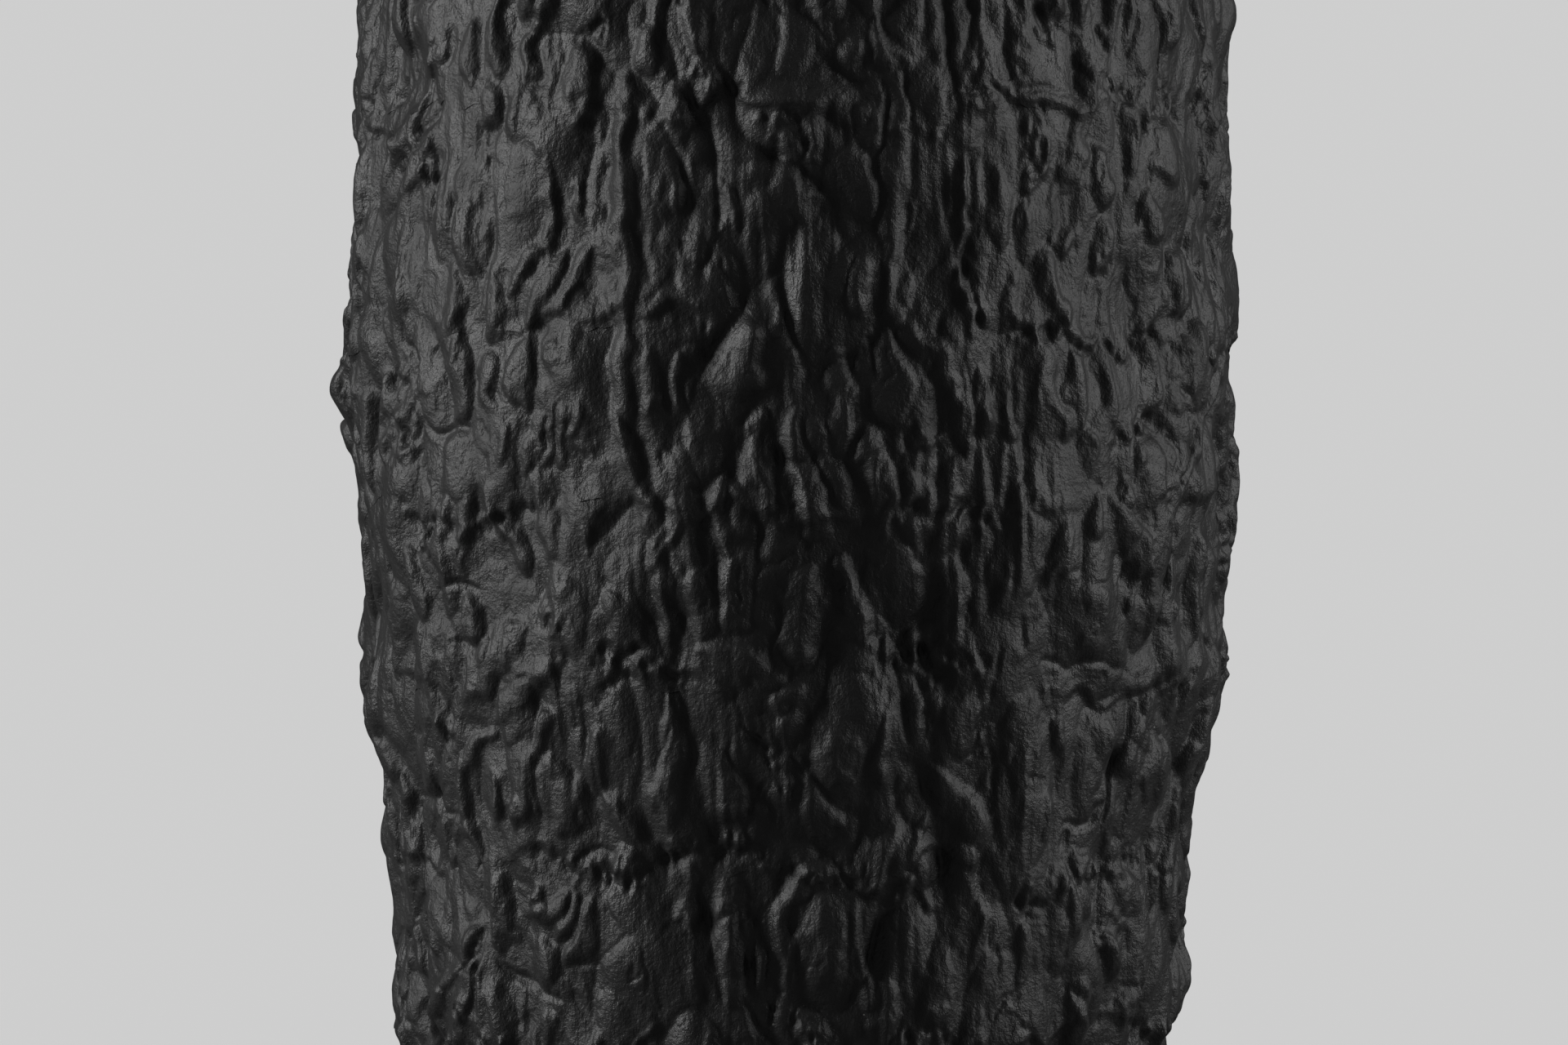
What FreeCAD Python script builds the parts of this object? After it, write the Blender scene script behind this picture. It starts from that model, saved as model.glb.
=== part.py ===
# Tall hand-built stoneware vase, in millimetres: +Z up, the origin at the centre of the foot's
# resting plane. The vessel is an assembly of clay pieces that a potter makes one by one and lutes
# together with slip: a foot ring, a base slab, a stack of wall courses, a rim course, and a thin
# coil that fills the corner inside. A fired glaze lines the inside, so that it holds water.
# Each joint between two courses is a bevel all round, lower at the outer face than at the inner
# one, so that the upper course laps over the lower. Every piece is turned about the Z axis.
import FreeCAD, Part
import os

# Driving dimensions
SEAMS = [  # height of each seam between two courses, and the wall's outer radius there
    (66.0, 110.5),
    (120.0, 120.0),
    (173.0, 125.0),
    (227.0, 133.0),
    (280.0, 136.5),
    (331.0, 138.0),
    (399.0, 135.5),
    (460.0, 132.0),
    (516.0, 123.5),
]
HEIGHT = 560.0
WALL = 12.0  # wall thickness, measured level
SCARF = 8.0  # rise of each bevelled joint from its outer end to its inner end
COURSE_BULGE = 1.5  # how far a course stands out from the chord between its seams
FOOT_OUTER = 93.0
FOOT_INNER = 74.0
FOOT_HEIGHT = 10.0
FOOT_ROUND = 2.0  # radius of the foot ring's two lower edges
SLAB_TOP = 24.0
SLAB_RADIUS_LOW = 97.5
SLAB_RADIUS_TOP = 102.0
LIP_OUTER = 112.0
FLOOR_COIL = 12.0  # reach of the floor coil along the floor and up the wall
FLOOR_COIL_SAG = 2.5  # how far its hollow face dips below the chord
GLAZE = 0.8
GLAZE_STOP = 10.0  # the lining ends this far below the lip

# Sizes worked out from them
LIP_ROUND = WALL / 2
LIP_CENTRE = (LIP_OUTER - LIP_ROUND, HEIGHT - LIP_ROUND)
FLOOR_CORNER = (SLAB_RADIUS_TOP - WALL, SLAB_TOP)


def between(a, b, share):
    """The point a share of the way from a to b, each a (radius, height) pair."""
    return (a[0] + (b[0] - a[0]) * share, a[1] + (b[1] - a[1]) * share)


def beside(a, b, distance):
    """The middle of the line from a to b, moved to its right-hand side by a distance."""
    length = ((b[0] - a[0]) ** 2 + (b[1] - a[1]) ** 2) ** 0.5
    middle = between(a, b, 0.5)
    right = ((b[1] - a[1]) / length, (a[0] - b[0]) / length)
    return (middle[0] + right[0] * distance, middle[1] + right[1] * distance)


def section_point(at):
    return FreeCAD.Vector(at[0], 0.0, at[1])


def line(a, b):
    return Part.makeLine(section_point(a), section_point(b))


def arc(a, middle, b):
    return Part.Arc(section_point(a), section_point(middle), section_point(b)).toShape()


def polyline(points):
    return [line(a, b) for a, b in zip(points, points[1:])]


def turned(edges):
    """The solid that a closed section makes when it turns once about the Z axis."""
    section = Part.Face(Part.Wire(Part.__sortEdges__(edges)))
    solid = section.revolve(FreeCAD.Vector(), FreeCAD.Vector(0, 0, 1), 360)
    solid = Part.Solid(solid.Shells[0])
    if solid.Volume < 0:
        solid.reverse()
    return solid


def joint_ends(seam):
    """The outer and the inner end of the bevelled joint at a seam."""
    height, radius = seam
    return (radius, height - SCARF / 2), (radius - WALL, height + SCARF / 2)


def bottom_joint():
    """The level joint between the base slab and the first wall course."""
    return (SLAB_RADIUS_TOP, SLAB_TOP), FLOOR_CORNER


def inner_wall():
    """The inner face of the whole wall from the floor to the lip, as its corners."""
    lip = (LIP_CENTRE[0] - LIP_ROUND, LIP_CENTRE[1])
    return [FLOOR_CORNER, *(joint_ends(seam)[1] for seam in SEAMS), lip]


def wall_course(below, above):
    """One band of the wall between two joints, with its outer face bulging between the seams."""
    (outer_low, inner_low), (outer_high, inner_high) = below, above
    face = arc(outer_low, beside(outer_low, outer_high, COURSE_BULGE), outer_high)
    inside = [line(outer_high, inner_high), line(inner_high, inner_low)]
    return turned([face, *inside, line(inner_low, outer_low)])


def rim_course():
    """The last band of the wall, closed by a half-round lip."""
    outer_low, inner_low = joint_ends(SEAMS[-1])
    lip_out = (LIP_CENTRE[0] + LIP_ROUND, LIP_CENTRE[1])
    lip_in = (LIP_CENTRE[0] - LIP_ROUND, LIP_CENTRE[1])
    face = arc(outer_low, beside(outer_low, lip_out, COURSE_BULGE), lip_out)
    lip = arc(lip_out, (LIP_CENTRE[0], HEIGHT), lip_in)
    return turned([face, lip, line(lip_in, inner_low), line(inner_low, outer_low)])


def base_slab():
    """The rolled disc of clay that closes the vessel, with a slightly full edge."""
    low, top = (SLAB_RADIUS_LOW, FOOT_HEIGHT), (SLAB_RADIUS_TOP, SLAB_TOP)
    edge = arc(low, beside(low, top, COURSE_BULGE / 2), top)
    rest = polyline([top, (0.0, SLAB_TOP), (0.0, FOOT_HEIGHT), low])
    return turned([edge, *rest])


def foot_ring():
    """The coil under the base slab that the vase stands on, with rounded lower edges."""
    ring = turned(
        polyline(
            [
                (FOOT_INNER, 0.0),
                (FOOT_OUTER, 0.0),
                (FOOT_OUTER, FOOT_HEIGHT),
                (FOOT_INNER, FOOT_HEIGHT),
                (FOOT_INNER, 0.0),
            ]
        )
    )
    lower = [
        edge
        for edge in ring.Edges
        if edge.BoundBox.ZMax < 1e-6 and isinstance(edge.Curve, Part.Circle)
    ]
    return ring.makeFillet(FOOT_ROUND, lower).Solids[0]


def floor_coil_corners():
    """Where the floor coil's hollow face starts on the floor, is deepest, and ends on the wall."""
    corner, first_seam = FLOOR_CORNER, joint_ends(SEAMS[0])[1]
    on_floor = (corner[0] - FLOOR_COIL, corner[1])
    on_wall = between(corner, first_seam, FLOOR_COIL / (first_seam[1] - corner[1]))
    return on_floor, beside(on_floor, on_wall, FLOOR_COIL_SAG), on_wall


def floor_coil():
    """The thin coil pressed into the corner between the base slab and the wall."""
    on_floor, deepest, on_wall = floor_coil_corners()
    sides = polyline([on_wall, FLOOR_CORNER, on_floor])
    return turned([arc(on_floor, deepest, on_wall), *sides])


def glaze_lining():
    """The fired glaze over the floor, the floor coil and the inner wall, nearly to the lip."""
    on_floor, deepest, on_wall = floor_coil_corners()
    wall = inner_wall()
    last_rise = wall[-1][1] - wall[-2][1]
    wall[-1] = between(wall[-2], wall[-1], 1 - (GLAZE_STOP - LIP_ROUND) / last_rise)
    back = [on_wall, *wall[1:]]
    front = [(radius - GLAZE, height) for radius, height in back]
    floor_front = (on_floor[0], on_floor[1] + GLAZE)
    hollow_front = (deepest[0] - GLAZE / 2**0.5, deepest[1] + GLAZE / 2**0.5)
    edges = [
        line((0.0, SLAB_TOP), on_floor),
        arc(on_floor, deepest, on_wall),
        *polyline([*back, *reversed(front)]),
        arc(front[0], hollow_front, floor_front),
        *polyline([floor_front, (0.0, SLAB_TOP + GLAZE), (0.0, SLAB_TOP)]),
    ]
    return turned(edges)


def all_pieces():
    """Every piece of the vase by its node name."""
    pieces = {
        "foot_ring": foot_ring(),
        "base_slab": base_slab(),
        "floor_coil": floor_coil(),
    }
    joints = [bottom_joint(), *(joint_ends(seam) for seam in SEAMS)]
    for number, (below, above) in enumerate(zip(joints, joints[1:]), start=1):
        pieces[f"wall_course_{number}"] = wall_course(below, above)
    pieces["rim_course"] = rim_course()
    pieces["glaze_lining"] = glaze_lining()
    return pieces


def main():
    os.makedirs("parts", exist_ok=True)
    for name, solid in all_pieces().items():
        solid.exportStep(f"parts/{name}.step")
        litres = solid.Volume / 1e6
        print(f"{name}: {litres:.4f} litres, valid {solid.isValid()}, {solid.ShapeType}")


main()
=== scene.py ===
import math

import bpy
import numpy as np
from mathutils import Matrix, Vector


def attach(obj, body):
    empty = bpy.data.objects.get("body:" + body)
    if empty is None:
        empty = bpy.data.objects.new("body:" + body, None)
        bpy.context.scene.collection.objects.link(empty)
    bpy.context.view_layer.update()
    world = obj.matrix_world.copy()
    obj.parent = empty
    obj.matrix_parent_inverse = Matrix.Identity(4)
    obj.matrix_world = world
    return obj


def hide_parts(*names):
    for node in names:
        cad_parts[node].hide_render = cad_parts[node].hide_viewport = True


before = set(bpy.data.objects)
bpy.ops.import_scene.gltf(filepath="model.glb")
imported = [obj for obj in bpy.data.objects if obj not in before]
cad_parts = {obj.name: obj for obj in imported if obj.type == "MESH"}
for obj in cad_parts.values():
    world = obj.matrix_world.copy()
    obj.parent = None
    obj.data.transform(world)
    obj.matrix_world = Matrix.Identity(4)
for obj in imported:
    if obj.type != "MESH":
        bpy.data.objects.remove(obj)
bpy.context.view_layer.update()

MM = 0.001
SEED = 7

# The grid of the relief: columns go round the vase, rows go up it
COLUMNS = 1280
ROW_STEP = 0.6
MEAN_RADIUS = 137.0  # the radius at which the wall is unrolled
FIELD_HEIGHT = 590.0  # the wall's height, and the way on over the lip
AROUND = 2 * math.pi * MEAN_RADIUS
STEP = (AROUND / COLUMNS, ROW_STEP)
PER_DEGREE = AROUND / 360
TRACK_STEP = 1.5  # about how far apart the points of a form's track are
FORM_REACH = 6.0  # how far beyond its width a form may wander

# Levels of the clay over the smooth wall of the frame
SEAT = -5.2  # the side of a body of clay goes no lower than this
GROUND = -2.6  # about the level of the clay between the bodies
PRESSED = 0.34  # the share of the way down to its floor that a hollow is pressed
HOLLOW_LEAN = 0.62  # how far to one side a hollow's deepest line lies, towards the nearer light
SETTLED = -0.9  # the level towards which the wet clay settles
KEPT_AT_FRONT = 0.56  # how much of its relief the clay keeps when it settles
KEPT_AT_SIDES = 0.8
FRONT_EASE = (34, 30)  # from so many degrees on the front gives way to the side, over so many more
SLUMP_SLOPE = 0.55  # steeper slopes slump
SLUMP_ROUNDS = 3
LAP = 0.7  # how far the upper course stands out at a seam, and the lower one back
WRINKLES = ((6.5, 1.4), (3.2, 0.28), (1.3, 0.17))  # the radius and the depth of each size
SUNK = 0.9  # how far the finished relief is set back into the wall

# How many marks of each kind are scattered round the wall
BODY_COUNT = 900
HOLLOW_COUNT = 330
CREASE_COUNT = 260
TEAR_COUNT = 60
SMALL_MARK_COUNT = 1500
NICK_COUNT = 1500
FURROW_COUNT = 650
FURROWS_FROM = 48  # degrees from the front

# Where the front has its own lists of forms
FRONT = (69, 108, 442)  # degrees to each side, and the lowest and highest height

# Wide swells and dips of the wall at its two sides: for each side's degrees, heights and lifts
SWELL_REACH = (30, 10)  # how far one reaches round the wall and up it
SWELLS = {
    -88: [
        (432, 2.5), (408, 2.2), (396, 1.0), (380, -1.4), (354, 2.0), (314, 6.6), (284, -3.4),
        (268, -2.2), (252, -1.2), (238, -3.8), (226, -1.2), (211, 4.0), (197, -3.0), (186, 2.4),
        (172, 3.4), (148, 1.0), (134, 1.6), (121, 2.8), (108, 2.4),
    ],
    88: [
        (428, 3.4), (382, -1.4), (354, -2.2), (320, -4.6), (280, -2.2), (248, -5.4), (222, 3.4),
        (206, 1.0), (184, -5.2), (170, -3.2), (154, -1.6), (130, 4.4), (112, -2.0),
    ],
}

# Bodies of clay at the front: the way along one, then its width, the level of its crest, and which of
# its sides is the steep one (from -1, the left, to 1, the right)
BODIES = [
    # the top left
    (-65, 440, -64, 425, -63, 412, 14, 1.0, 0.6), (-55, 440, -55.5, 420, -56, 403, 25, 0.3, 0.1),
    (-56, 399, -61, 390, -67, 374, 9, 0.5, -0.3), (-51, 395, -55, 385, -61, 370, 13, 0.4, 0.3),
    (-60, 368, -61, 352, -60, 334, 24, 0.3, 0.0), (-46, 386, -44, 365, -43, 343, 27, 0.8, -0.4),
    (-43, 402, -42.8, 391, 14, 1.3, 0.2), (-46.7, 425, -46.3, 412, -46.5, 402, 7.5, 0.9, 0.5),
    (-40, 434, -41.2, 418, -41.6, 404, 7.5, 1.2, 0.4), (-36.5, 434, -35.8, 426, -37.5, 422, 6, 0.8, 0.2),
    (-33.2, 422, -35.4, 413, -36.6, 406, 5, 0.3, 0.2), (-32.5, 440, -32.8, 428, -34, 420, 5.5, 0.6, 0.3),
    (-36.5, 404, -38, 396, -37.5, 388, 11, 0.5, 0.0), (-27.3, 414, -27.8, 400, -28.5, 385, 15, 1.9, 0.4),
    (-20.8, 404, -21.2, 380, -21.4, 355, -21.8, 330, 9, 2.6, 0.2),
    (-22.8, 354, -23.7, 343, -22.5, 332, 3.5, 0.3, -0.4),
    (-31.8, 375, -32.6, 364, -33.5, 351, 6.5, 0.0, 0.4), (-27.2, 373, -27, 361, 5, 0.2, 0.0),
    (-26, 356, -28.5, 344, -31.5, 332, 7, 0.8, 0.5), (-30, 354, -32.5, 343, -36, 331, 6, 0.4, 0.4),
    (-34, 354, -36.5, 347, -38.5, 339, 5, 0.3, 0.3), (-41, 352, -41.5, 340, -41, 327, 15, 0.7, 0.2),
    (-48.6, 353, -48.2, 335, -47.4, 317, -48.5, 301, 12, 1.3, 0.7),
    # the middle left
    (-63, 322, -64, 306, -63, 290, 16, 0.2, 0.0), (-42, 326, -41.5, 314, -42, 302, 12, 0.5, 0.2),
    (-48, 299, -47.5, 287, -47, 275, 26, 0.8, -0.2), (-50.3, 281, -50.6, 267, -49.8, 252, 9, 0.9, 0.0),
    (-46.8, 282, -47.4, 268, -46.5, 254, 9, 0.4, 0.3), (-41.5, 285, -40, 272, -36.5, 261, 6, 0.7, -0.2),
    (-39.2, 301, -39.6, 287, 7, 0.6, 0.2), (-33.4, 304, -34.5, 294, -35.2, 284, 4.5, 0.6, 0.3),
    (-31.4, 306, -32.4, 297, -33.6, 288, 4.5, 0.5, 0.3), (-28.6, 306, -30.2, 297, -31, 290, 4.5, 0.5, 0.3),
    (-27.1, 310, -27.6, 299, 4, 0.3, 0.3), (-29.5, 332, -30, 320, -29.5, 309, 14, 0.2, 0.2),
    (-36, 331, -36.2, 318, -35, 304, 8, 0.3, 0.4), (-21.5, 334, -21.7, 312, -20.6, 291, 8, 1.1, -0.2),
    (-20.8, 297, -19.5, 284, -16.5, 270, 6.5, 0.8, -0.3), (-33, 290, -32.5, 276, -32, 262, 11, 0.9, -0.3),
    (-26.5, 290, -26.5, 277, -26, 263, 17, 0.4, 0.2), (-30.5, 261, -30.5, 248, -28, 235, 25, 1.4, -0.3),
    (-57.5, 265, -57, 252, -57.5, 242, 12, 1.1, 0.5), (-47.5, 250, -46.4, 242, -47, 233, 10, 1.3, 0.5),
    (-58, 244, -57.5, 232, -57, 213, 10, 1.1, 0.6), (-37, 246, -42, 234, -49, 220, 15, 0.8, 0.2),
    (-31, 234, -37, 226, -45, 213, 15, 0.7, 0.3), (-22, 253, -22, 243, -22, 230, 10, 0.5, 0.4),
    (-15.5, 263, -16, 252, -15, 240, 6.5, 0.5, 0.3), (-15, 279, -15.5, 268, -17.5, 260, 9, 0.7, -0.4),
    (-11.5, 262, -11.8, 250, -11.5, 238, 8, 0.6, -0.3),
    # the bottom left
    (-60.5, 212, -61, 200, -60, 189, 22, 1.0, 0.3),
    (-44, 209, -49.5, 199, -51, 189, -48, 171, 7.5, 1.1, 0.4), (-44.4, 198, -44.6, 183, 5.5, 0.2, 0.4),
    (-38.5, 203, -39.2, 191, -40, 181, 6.5, 1.0, 0.4), (-33.2, 214, -36.4, 202, -37.2, 185, 6.5, 1.0, -0.4),
    (-32.2, 202, -33, 190, -32, 177, 21, 1.1, -0.2), (-23.5, 215, -26, 203, -28, 191, 13, 0.9, -0.6),
    (-25, 194, -24, 186, -21, 178, 12, 0.3, 0.0), (-62, 175, -62, 160, -57, 141, 19, 0.9, -0.4),
    (-53, 152, -53, 141, 11, -0.3, 0.3), (-45.6, 171, -46.3, 158, -45, 143, 17, 1.1, -0.4),
    (-38.5, 151, -39, 140, -38.5, 130, 19, 1.0, 0.2), (-36.4, 161, -41, 154, 4.5, 0.4, 0.4),
    (-37.4, 167, -41, 160, 4.5, 0.3, 0.4), (-33, 164, -38, 155, 5.5, 0.4, 0.4),
    (-30.6, 162, -36, 150, 6, 0.4, 0.4), (-22.5, 177, -22.5, 163, -23, 150, 14, 0.2, -0.7),
    (-27, 161, -30.5, 150, -34.4, 139, 9, 1.1, -0.6), (-16, 174, -15.5, 162, -15, 150, 14, 0.4, 0.3),
    (-22, 150, -24, 132, -26, 114, 30, 0.6, -0.3), (-37.4, 126, -39.5, 118, -41, 108, 6, 0.7, -0.3),
    (-28, 123, -28.5, 108, 9, 1.1, -0.4), (-55, 137, -61, 127, -69, 117, 8, 0.7, 0.2),
    (-53, 128, -57, 118, -62, 106, 9, 0.6, 0.2), (-48, 134, -47, 120, -48, 107, 14, 0.5, 0.1),
    # the top middle
    (-12, 429, -12.4, 420, -11.8, 411, 10, 1.7, -0.4), (-18.6, 434, -18.5, 418, -19.2, 403, 7.5, 1.1, -0.3),
    (-14.6, 405, -15.2, 393, -15.2, 380, 9, 1.5, -0.4), (-3.6, 410, -5.2, 403, 6, 0.9, -0.4),
    (2.5, 436, 3, 427, 2, 418, 14, 0.9, 0.2), (8.5, 440, 9, 430, 8.4, 420, 10, 0.7, 0.3),
    (6.4, 415, 7, 405, 11, 1.4, 0.4), (-1, 422, -0.6, 412, 0.5, 403, 10, 0.7, -0.2),
    (-8, 401, -1, 397, 6, 399, 8, 0.6, -0.3), (-6.5, 396, -5, 387, -4, 378, 26, 0.0, 0.1),
    (8, 397, 9.5, 388, 9, 380, 12, 0.9, 0.3), (-2, 378, -1.5, 366, -2.5, 355, 19, 1.2, 0.4),
    (6.2, 382, 8.2, 372, 8.4, 359, 10, 1.0, 0.7), (-10, 363, -11, 345, -11.5, 326, 23, 1.2, 0.3),
    (-9.8, 375, -8, 366, -6, 355, 5.5, 1.1, -0.4), (-14, 373, -14.4, 361, 5, 0.4, -0.3),
    (14, 400, 13.2, 380, 13, 362, 11.8, 346, 11, 1.5, -0.2), (10.2, 422, 11, 412, 12, 403, 5, 0.8, -0.4),
    (11, 411, 13, 409, 15, 405, 4.5, 0.5, 0.3), (14.2, 436, 14.6, 424, 14.4, 411, 12, 0.7, -0.2),
    (17.2, 428, 18, 417, 18.3, 405, 9, 1.4, 0.6), (22, 426, 22, 414, 22, 403, 7.5, 1.2, -0.4),
    (24.8, 434, 25, 422, 24.6, 410, 6, 0.7, 0.2), (20, 404, 21, 392, 22, 379, 23, 1.1, 0.3),
    (20.8, 380, 21, 365, 21.4, 349, 5, 0.9, 0.2), (4, 357, 5, 348, 5.4, 339, 9, 0.4, 0.2),
    (8.4, 352, 8, 342, 8.6, 330, 7, 0.6, -0.3), (21.4, 347, 22, 337, 23.6, 327, 4.5, 0.5, 0.2),
    (23.6, 345, 24.4, 336, 25.5, 328, 4, 0.4, 0.2), (12.5, 349, 12.5, 340, 13.1, 330, 4.5, 0.5, -0.2),
    (14.3, 347, 14, 336, 4.5, 0.5, 0.2), (0, 346, -1.3, 337, -0.5, 330, 6, 0.2, -0.2),
    (2, 341, 1.6, 331, 5, 0.3, -0.2),
    # the middle
    (-7.8, 332, -7, 319, -6, 308, 17, 1.6, 0.75), (-12, 326, -12.8, 316, -12.5, 304, 10, 0.7, -0.4),
    (-17.5, 326, -17.3, 314, -18, 303, 9, 0.4, -0.3), (-11, 303, -11.5, 293, -11, 281, 18, 0.4, -0.2),
    (-3.7, 306, -4, 288, -4.6, 265, 9.5, 1.5, 0.2), (-7.5, 288, -8.2, 278, -7, 261, 5.5, 0.5, -0.3),
    (2.8, 308, 1, 294, 2.4, 279, 1.8, 264, 7, 1.3, -0.2), (5.4, 324, 6.8, 307, 6.2, 292, 6.5, 1.1, 0.2),
    (4, 302, 5.2, 288, 6.2, 275, 7, 1.1, -0.2), (1.5, 326, 1, 315, 2, 304, 12, 0.5, -0.2),
    (10, 302, 10.4, 290, 10.1, 277, 6, 0.8, 0.2), (10.6, 328, 12, 315, 12.5, 302, 13, 1.1, 0.6),
    (12, 332, 17.5, 321, 21, 309, 21, 289, 8.5, 1.6, 0.3), (15.2, 301, 16.8, 295, 18.4, 299, 3.5, 0.4, 0.0),
    (16.3, 290, 16.4, 276, 16.2, 261, 8.5, 1.3, 0.2), (20.5, 291, 20, 276, 19.6, 261, 9, 0.9, 0.2),
    (12.5, 290, 12.2, 277, 12.5, 265, 8, 0.5, 0.0), (-3.6, 263, -7, 252, -8.2, 239, 14, 1.4, -0.4),
    (1.6, 258, 1.3, 244, 1, 230, 17, 1.1, 0.2), (6.4, 263, 7.2, 248, 8.3, 231, 6.5, 1.2, 0.2),
    (12.8, 265, 13.6, 252, 14, 239, 17, 1.2, 0.6), (20, 261, 20.4, 250, 19, 239, 9, 0.7, 0.3),
    (24.3, 320, 24.3, 306, 25, 295, 7, 0.4, 0.2), (12, 239, 11.4, 228, 5, 0.6, 0.2),
    (16, 240, 17, 227, 6, 1.1, 0.3), (-13, 236, -6, 229, 0, 224, 9, 0.7, 0.3),
    # the bottom middle
    (-14.8, 220, -16, 203, -17, 183, 13, 1.6, -0.5), (-9.6, 208, -9.6, 194, -9.4, 181, 17, 0.2, 0.3),
    (-3, 208, -2.4, 196, -2, 184, 14, 0.3, 0.4), (7.4, 215, 5.6, 198, 3.6, 177, 21, 1.5, -0.3),
    (11.6, 216, 11.6, 205, 11, 194, 5, 0.9, 0.4), (2, 224, 0, 217, -1, 210, 10, 0.6, -0.2),
    (16, 223, 15.6, 213, 16.6, 203, 13, 0.2, 0.3), (17.3, 202, 20.5, 193, 24.5, 185, 28, 177, 12, 1.7, 0.4),
    (22, 222, 22.5, 213, 22, 205, 12, 0.9, 0.4), (18, 185, 16.6, 172, 15, 159, 5, 0.6, 0.0),
    (13.5, 184, 12.4, 174, 12, 160, 9, 0.4, 0.3), (17.2, 177, 18.5, 168, 20.4, 161, 5.5, 1.0, 0.4),
    (24, 179, 24.5, 168, 25, 159, 15, 0.7, 0.4), (-9.4, 163, -8.3, 147, -8.5, 127, 10, 1.4, -0.3),
    (-4.9, 156, -4.6, 144, -5, 132, 9, 0.3, 0.2), (-0.8, 164, 0, 148, 0.6, 131, 6.5, 1.2, -0.3),
    (4.6, 162, 4.3, 147, 4, 133, 16, 0.8, 0.3), (7.5, 171, 3, 167, 0, 159, 8, 1.3, -0.3),
    (8, 159, 9.3, 145, 10.4, 127, 7, 1.3, 0.5), (2.8, 127.5, 3, 122, 6, 0.0, 0.0),
    (-10.8, 127, -11.2, 110, 9.5, 1.2, -0.3), (13.5, 140, 13.5, 127, 14, 114, 16, 0.5, 0.2),
    (5, 121, 4, 113, 3, 105, 12, 0.7, 0.0), (21, 150, 20.6, 137, 20, 121, 15, 0.7, 0.3),
    (26.5, 161, 26.8, 147, 26.7, 131, 12, 1.7, 0.5), (27.5, 130, 27, 118, 26.5, 107, 10, 0.8, 0.4),
    # the top right
    (35, 440, 35.2, 420, 35, 403, 11, 1.0, 0.3), (31.4, 436, 31, 420, 31.4, 404, 7, 0.4, 0.2),
    (41, 436, 41, 424, 7, 0.6, 0.4), (46.3, 432, 46.5, 416, 4.5, 0.5, 0.3),
    (50.5, 438, 51, 426, 51.5, 414, 12, 0.5, 0.3), (60, 440, 60.5, 426, 61, 412, 18, 0.4, 0.3),
    (41.8, 410, 42, 398, 41.5, 388, 8, 0.7, 0.4), (38, 400, 38.4, 388, 38, 377, 17, 1.2, 0.3),
    (31.5, 394, 32, 380, 32, 367, 8, 0.5, 0.4), (42.4, 386, 43, 376, 43.4, 364, 9, 0.8, 0.5),
    (48.6, 396, 49.4, 386, 49.6, 372, 10, 0.5, 0.4), (57, 396, 56.6, 385, 56, 373, 22, 1.0, 0.3),
    (37.6, 382, 37.4, 371, 10, 0.8, 0.3), (26.6, 376, 27, 362, 27.6, 350, 9, 0.7, 0.3),
    (31.6, 367, 31.3, 356, 32, 346, 8, 0.5, 0.4), (38.6, 362, 37.4, 356, 36.4, 350, 7, 0.2, 0.3),
    (34.4, 351, 35.3, 342, 36.5, 331, 8, 1.0, 0.5), (43.5, 362, 43, 352, 43.4, 342, 10, 0.6, 0.4),
    (30.4, 347, 29.6, 338, 29, 328, 8, 0.2, 0.2), (56.6, 358, 57, 345, 57, 332, 26, 1.4, 0.3),
    (52, 370, 53, 363, 52, 357, 9, 0.6, 0.3), (66, 372, 66, 356, 66, 340, 16, 0.5, 0.2),
    # the middle right
    (33.2, 328, 34, 312, 35.6, 294, 17, 2.0, 0.2), (27.6, 308, 28.5, 302, 28.2, 296, 4, 0.1, 0.3),
    (38.8, 326, 38.8, 312, 38, 299, 6.5, 0.8, 0.4), (43.6, 328, 43.4, 316, 43, 303, 9, 0.7, 0.4),
    (30.6, 293, 31, 275, 30, 258, 27.4, 241, 21, 1.7, -0.2), (36.5, 276, 36.3, 265, 34.4, 253, 9, 1.2, 0.5),
    (39.6, 301, 39.6, 286, 9, 0.7, 0.3), (40.5, 282, 41.3, 275, 42.5, 269, 5, 0.5, 0.4),
    (45.5, 285, 47, 281, 49.2, 275, 6.5, 1.3, 0.3), (43.6, 283, 48, 270, 53, 255, 10, 0.9, 0.4),
    (52.4, 296, 52.6, 286, 53.4, 276, 12, 0.7, 0.4), (40, 257, 41, 245, 41, 230, 26, 0.9, 0.2),
    (52, 257, 53.5, 245, 53, 235, 9, 0.9, 0.5), (62.6, 334, 63.2, 312, 64, 292, 14, 1.7, 0.3),
    (54, 332, 54, 318, 52, 303, 15, 0.6, 0.3), (62.5, 291, 62.6, 275, 62, 254, 17, 1.1, 0.3),
    (67, 268, 67, 252, 66.5, 236, 12, 0.8, 0.3),
    # the bottom right
    (31.6, 224, 32, 207, 33, 187, 16, 1.2, 0.3), (37.4, 216, 38.7, 204, 6, 0.4, 0.4),
    (44, 217, 44, 202, 43, 185, 20, 0.9, 0.3), (37, 190, 36, 180, 35, 172, 9, 0.5, 0.3),
    (53.4, 220, 53.6, 208, 53, 195, 14, 0.7, 0.3), (44.4, 177, 46, 166, 47, 154, 9, 1.0, 0.4),
    (39.6, 171, 41.5, 155, 41, 134, 23, 1.4, 0.3), (50, 179, 54, 165, 60, 149, 13, 1.2, 0.3),
    (49.4, 149, 53, 141, 57, 134, 6, 0.5, 0.4), (33.4, 153, 34.7, 143, 33.5, 133, 5.5, 0.5, 0.4),
    (61.5, 206, 62.6, 195, 62.5, 186, 17, 1.4, 0.3), (63.5, 184, 65, 168, 66, 151, 11, 1.1, 0.4),
    (47, 136, 47.6, 124, 48, 111, 15, 0.7, 0.3), (58, 132, 58.6, 120, 59, 107, 21, 0.8, 0.3),
    (38.6, 133, 39.4, 124, 40, 112, 9, 0.4, 0.3),
    # the two sides, as they show in outline
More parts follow.
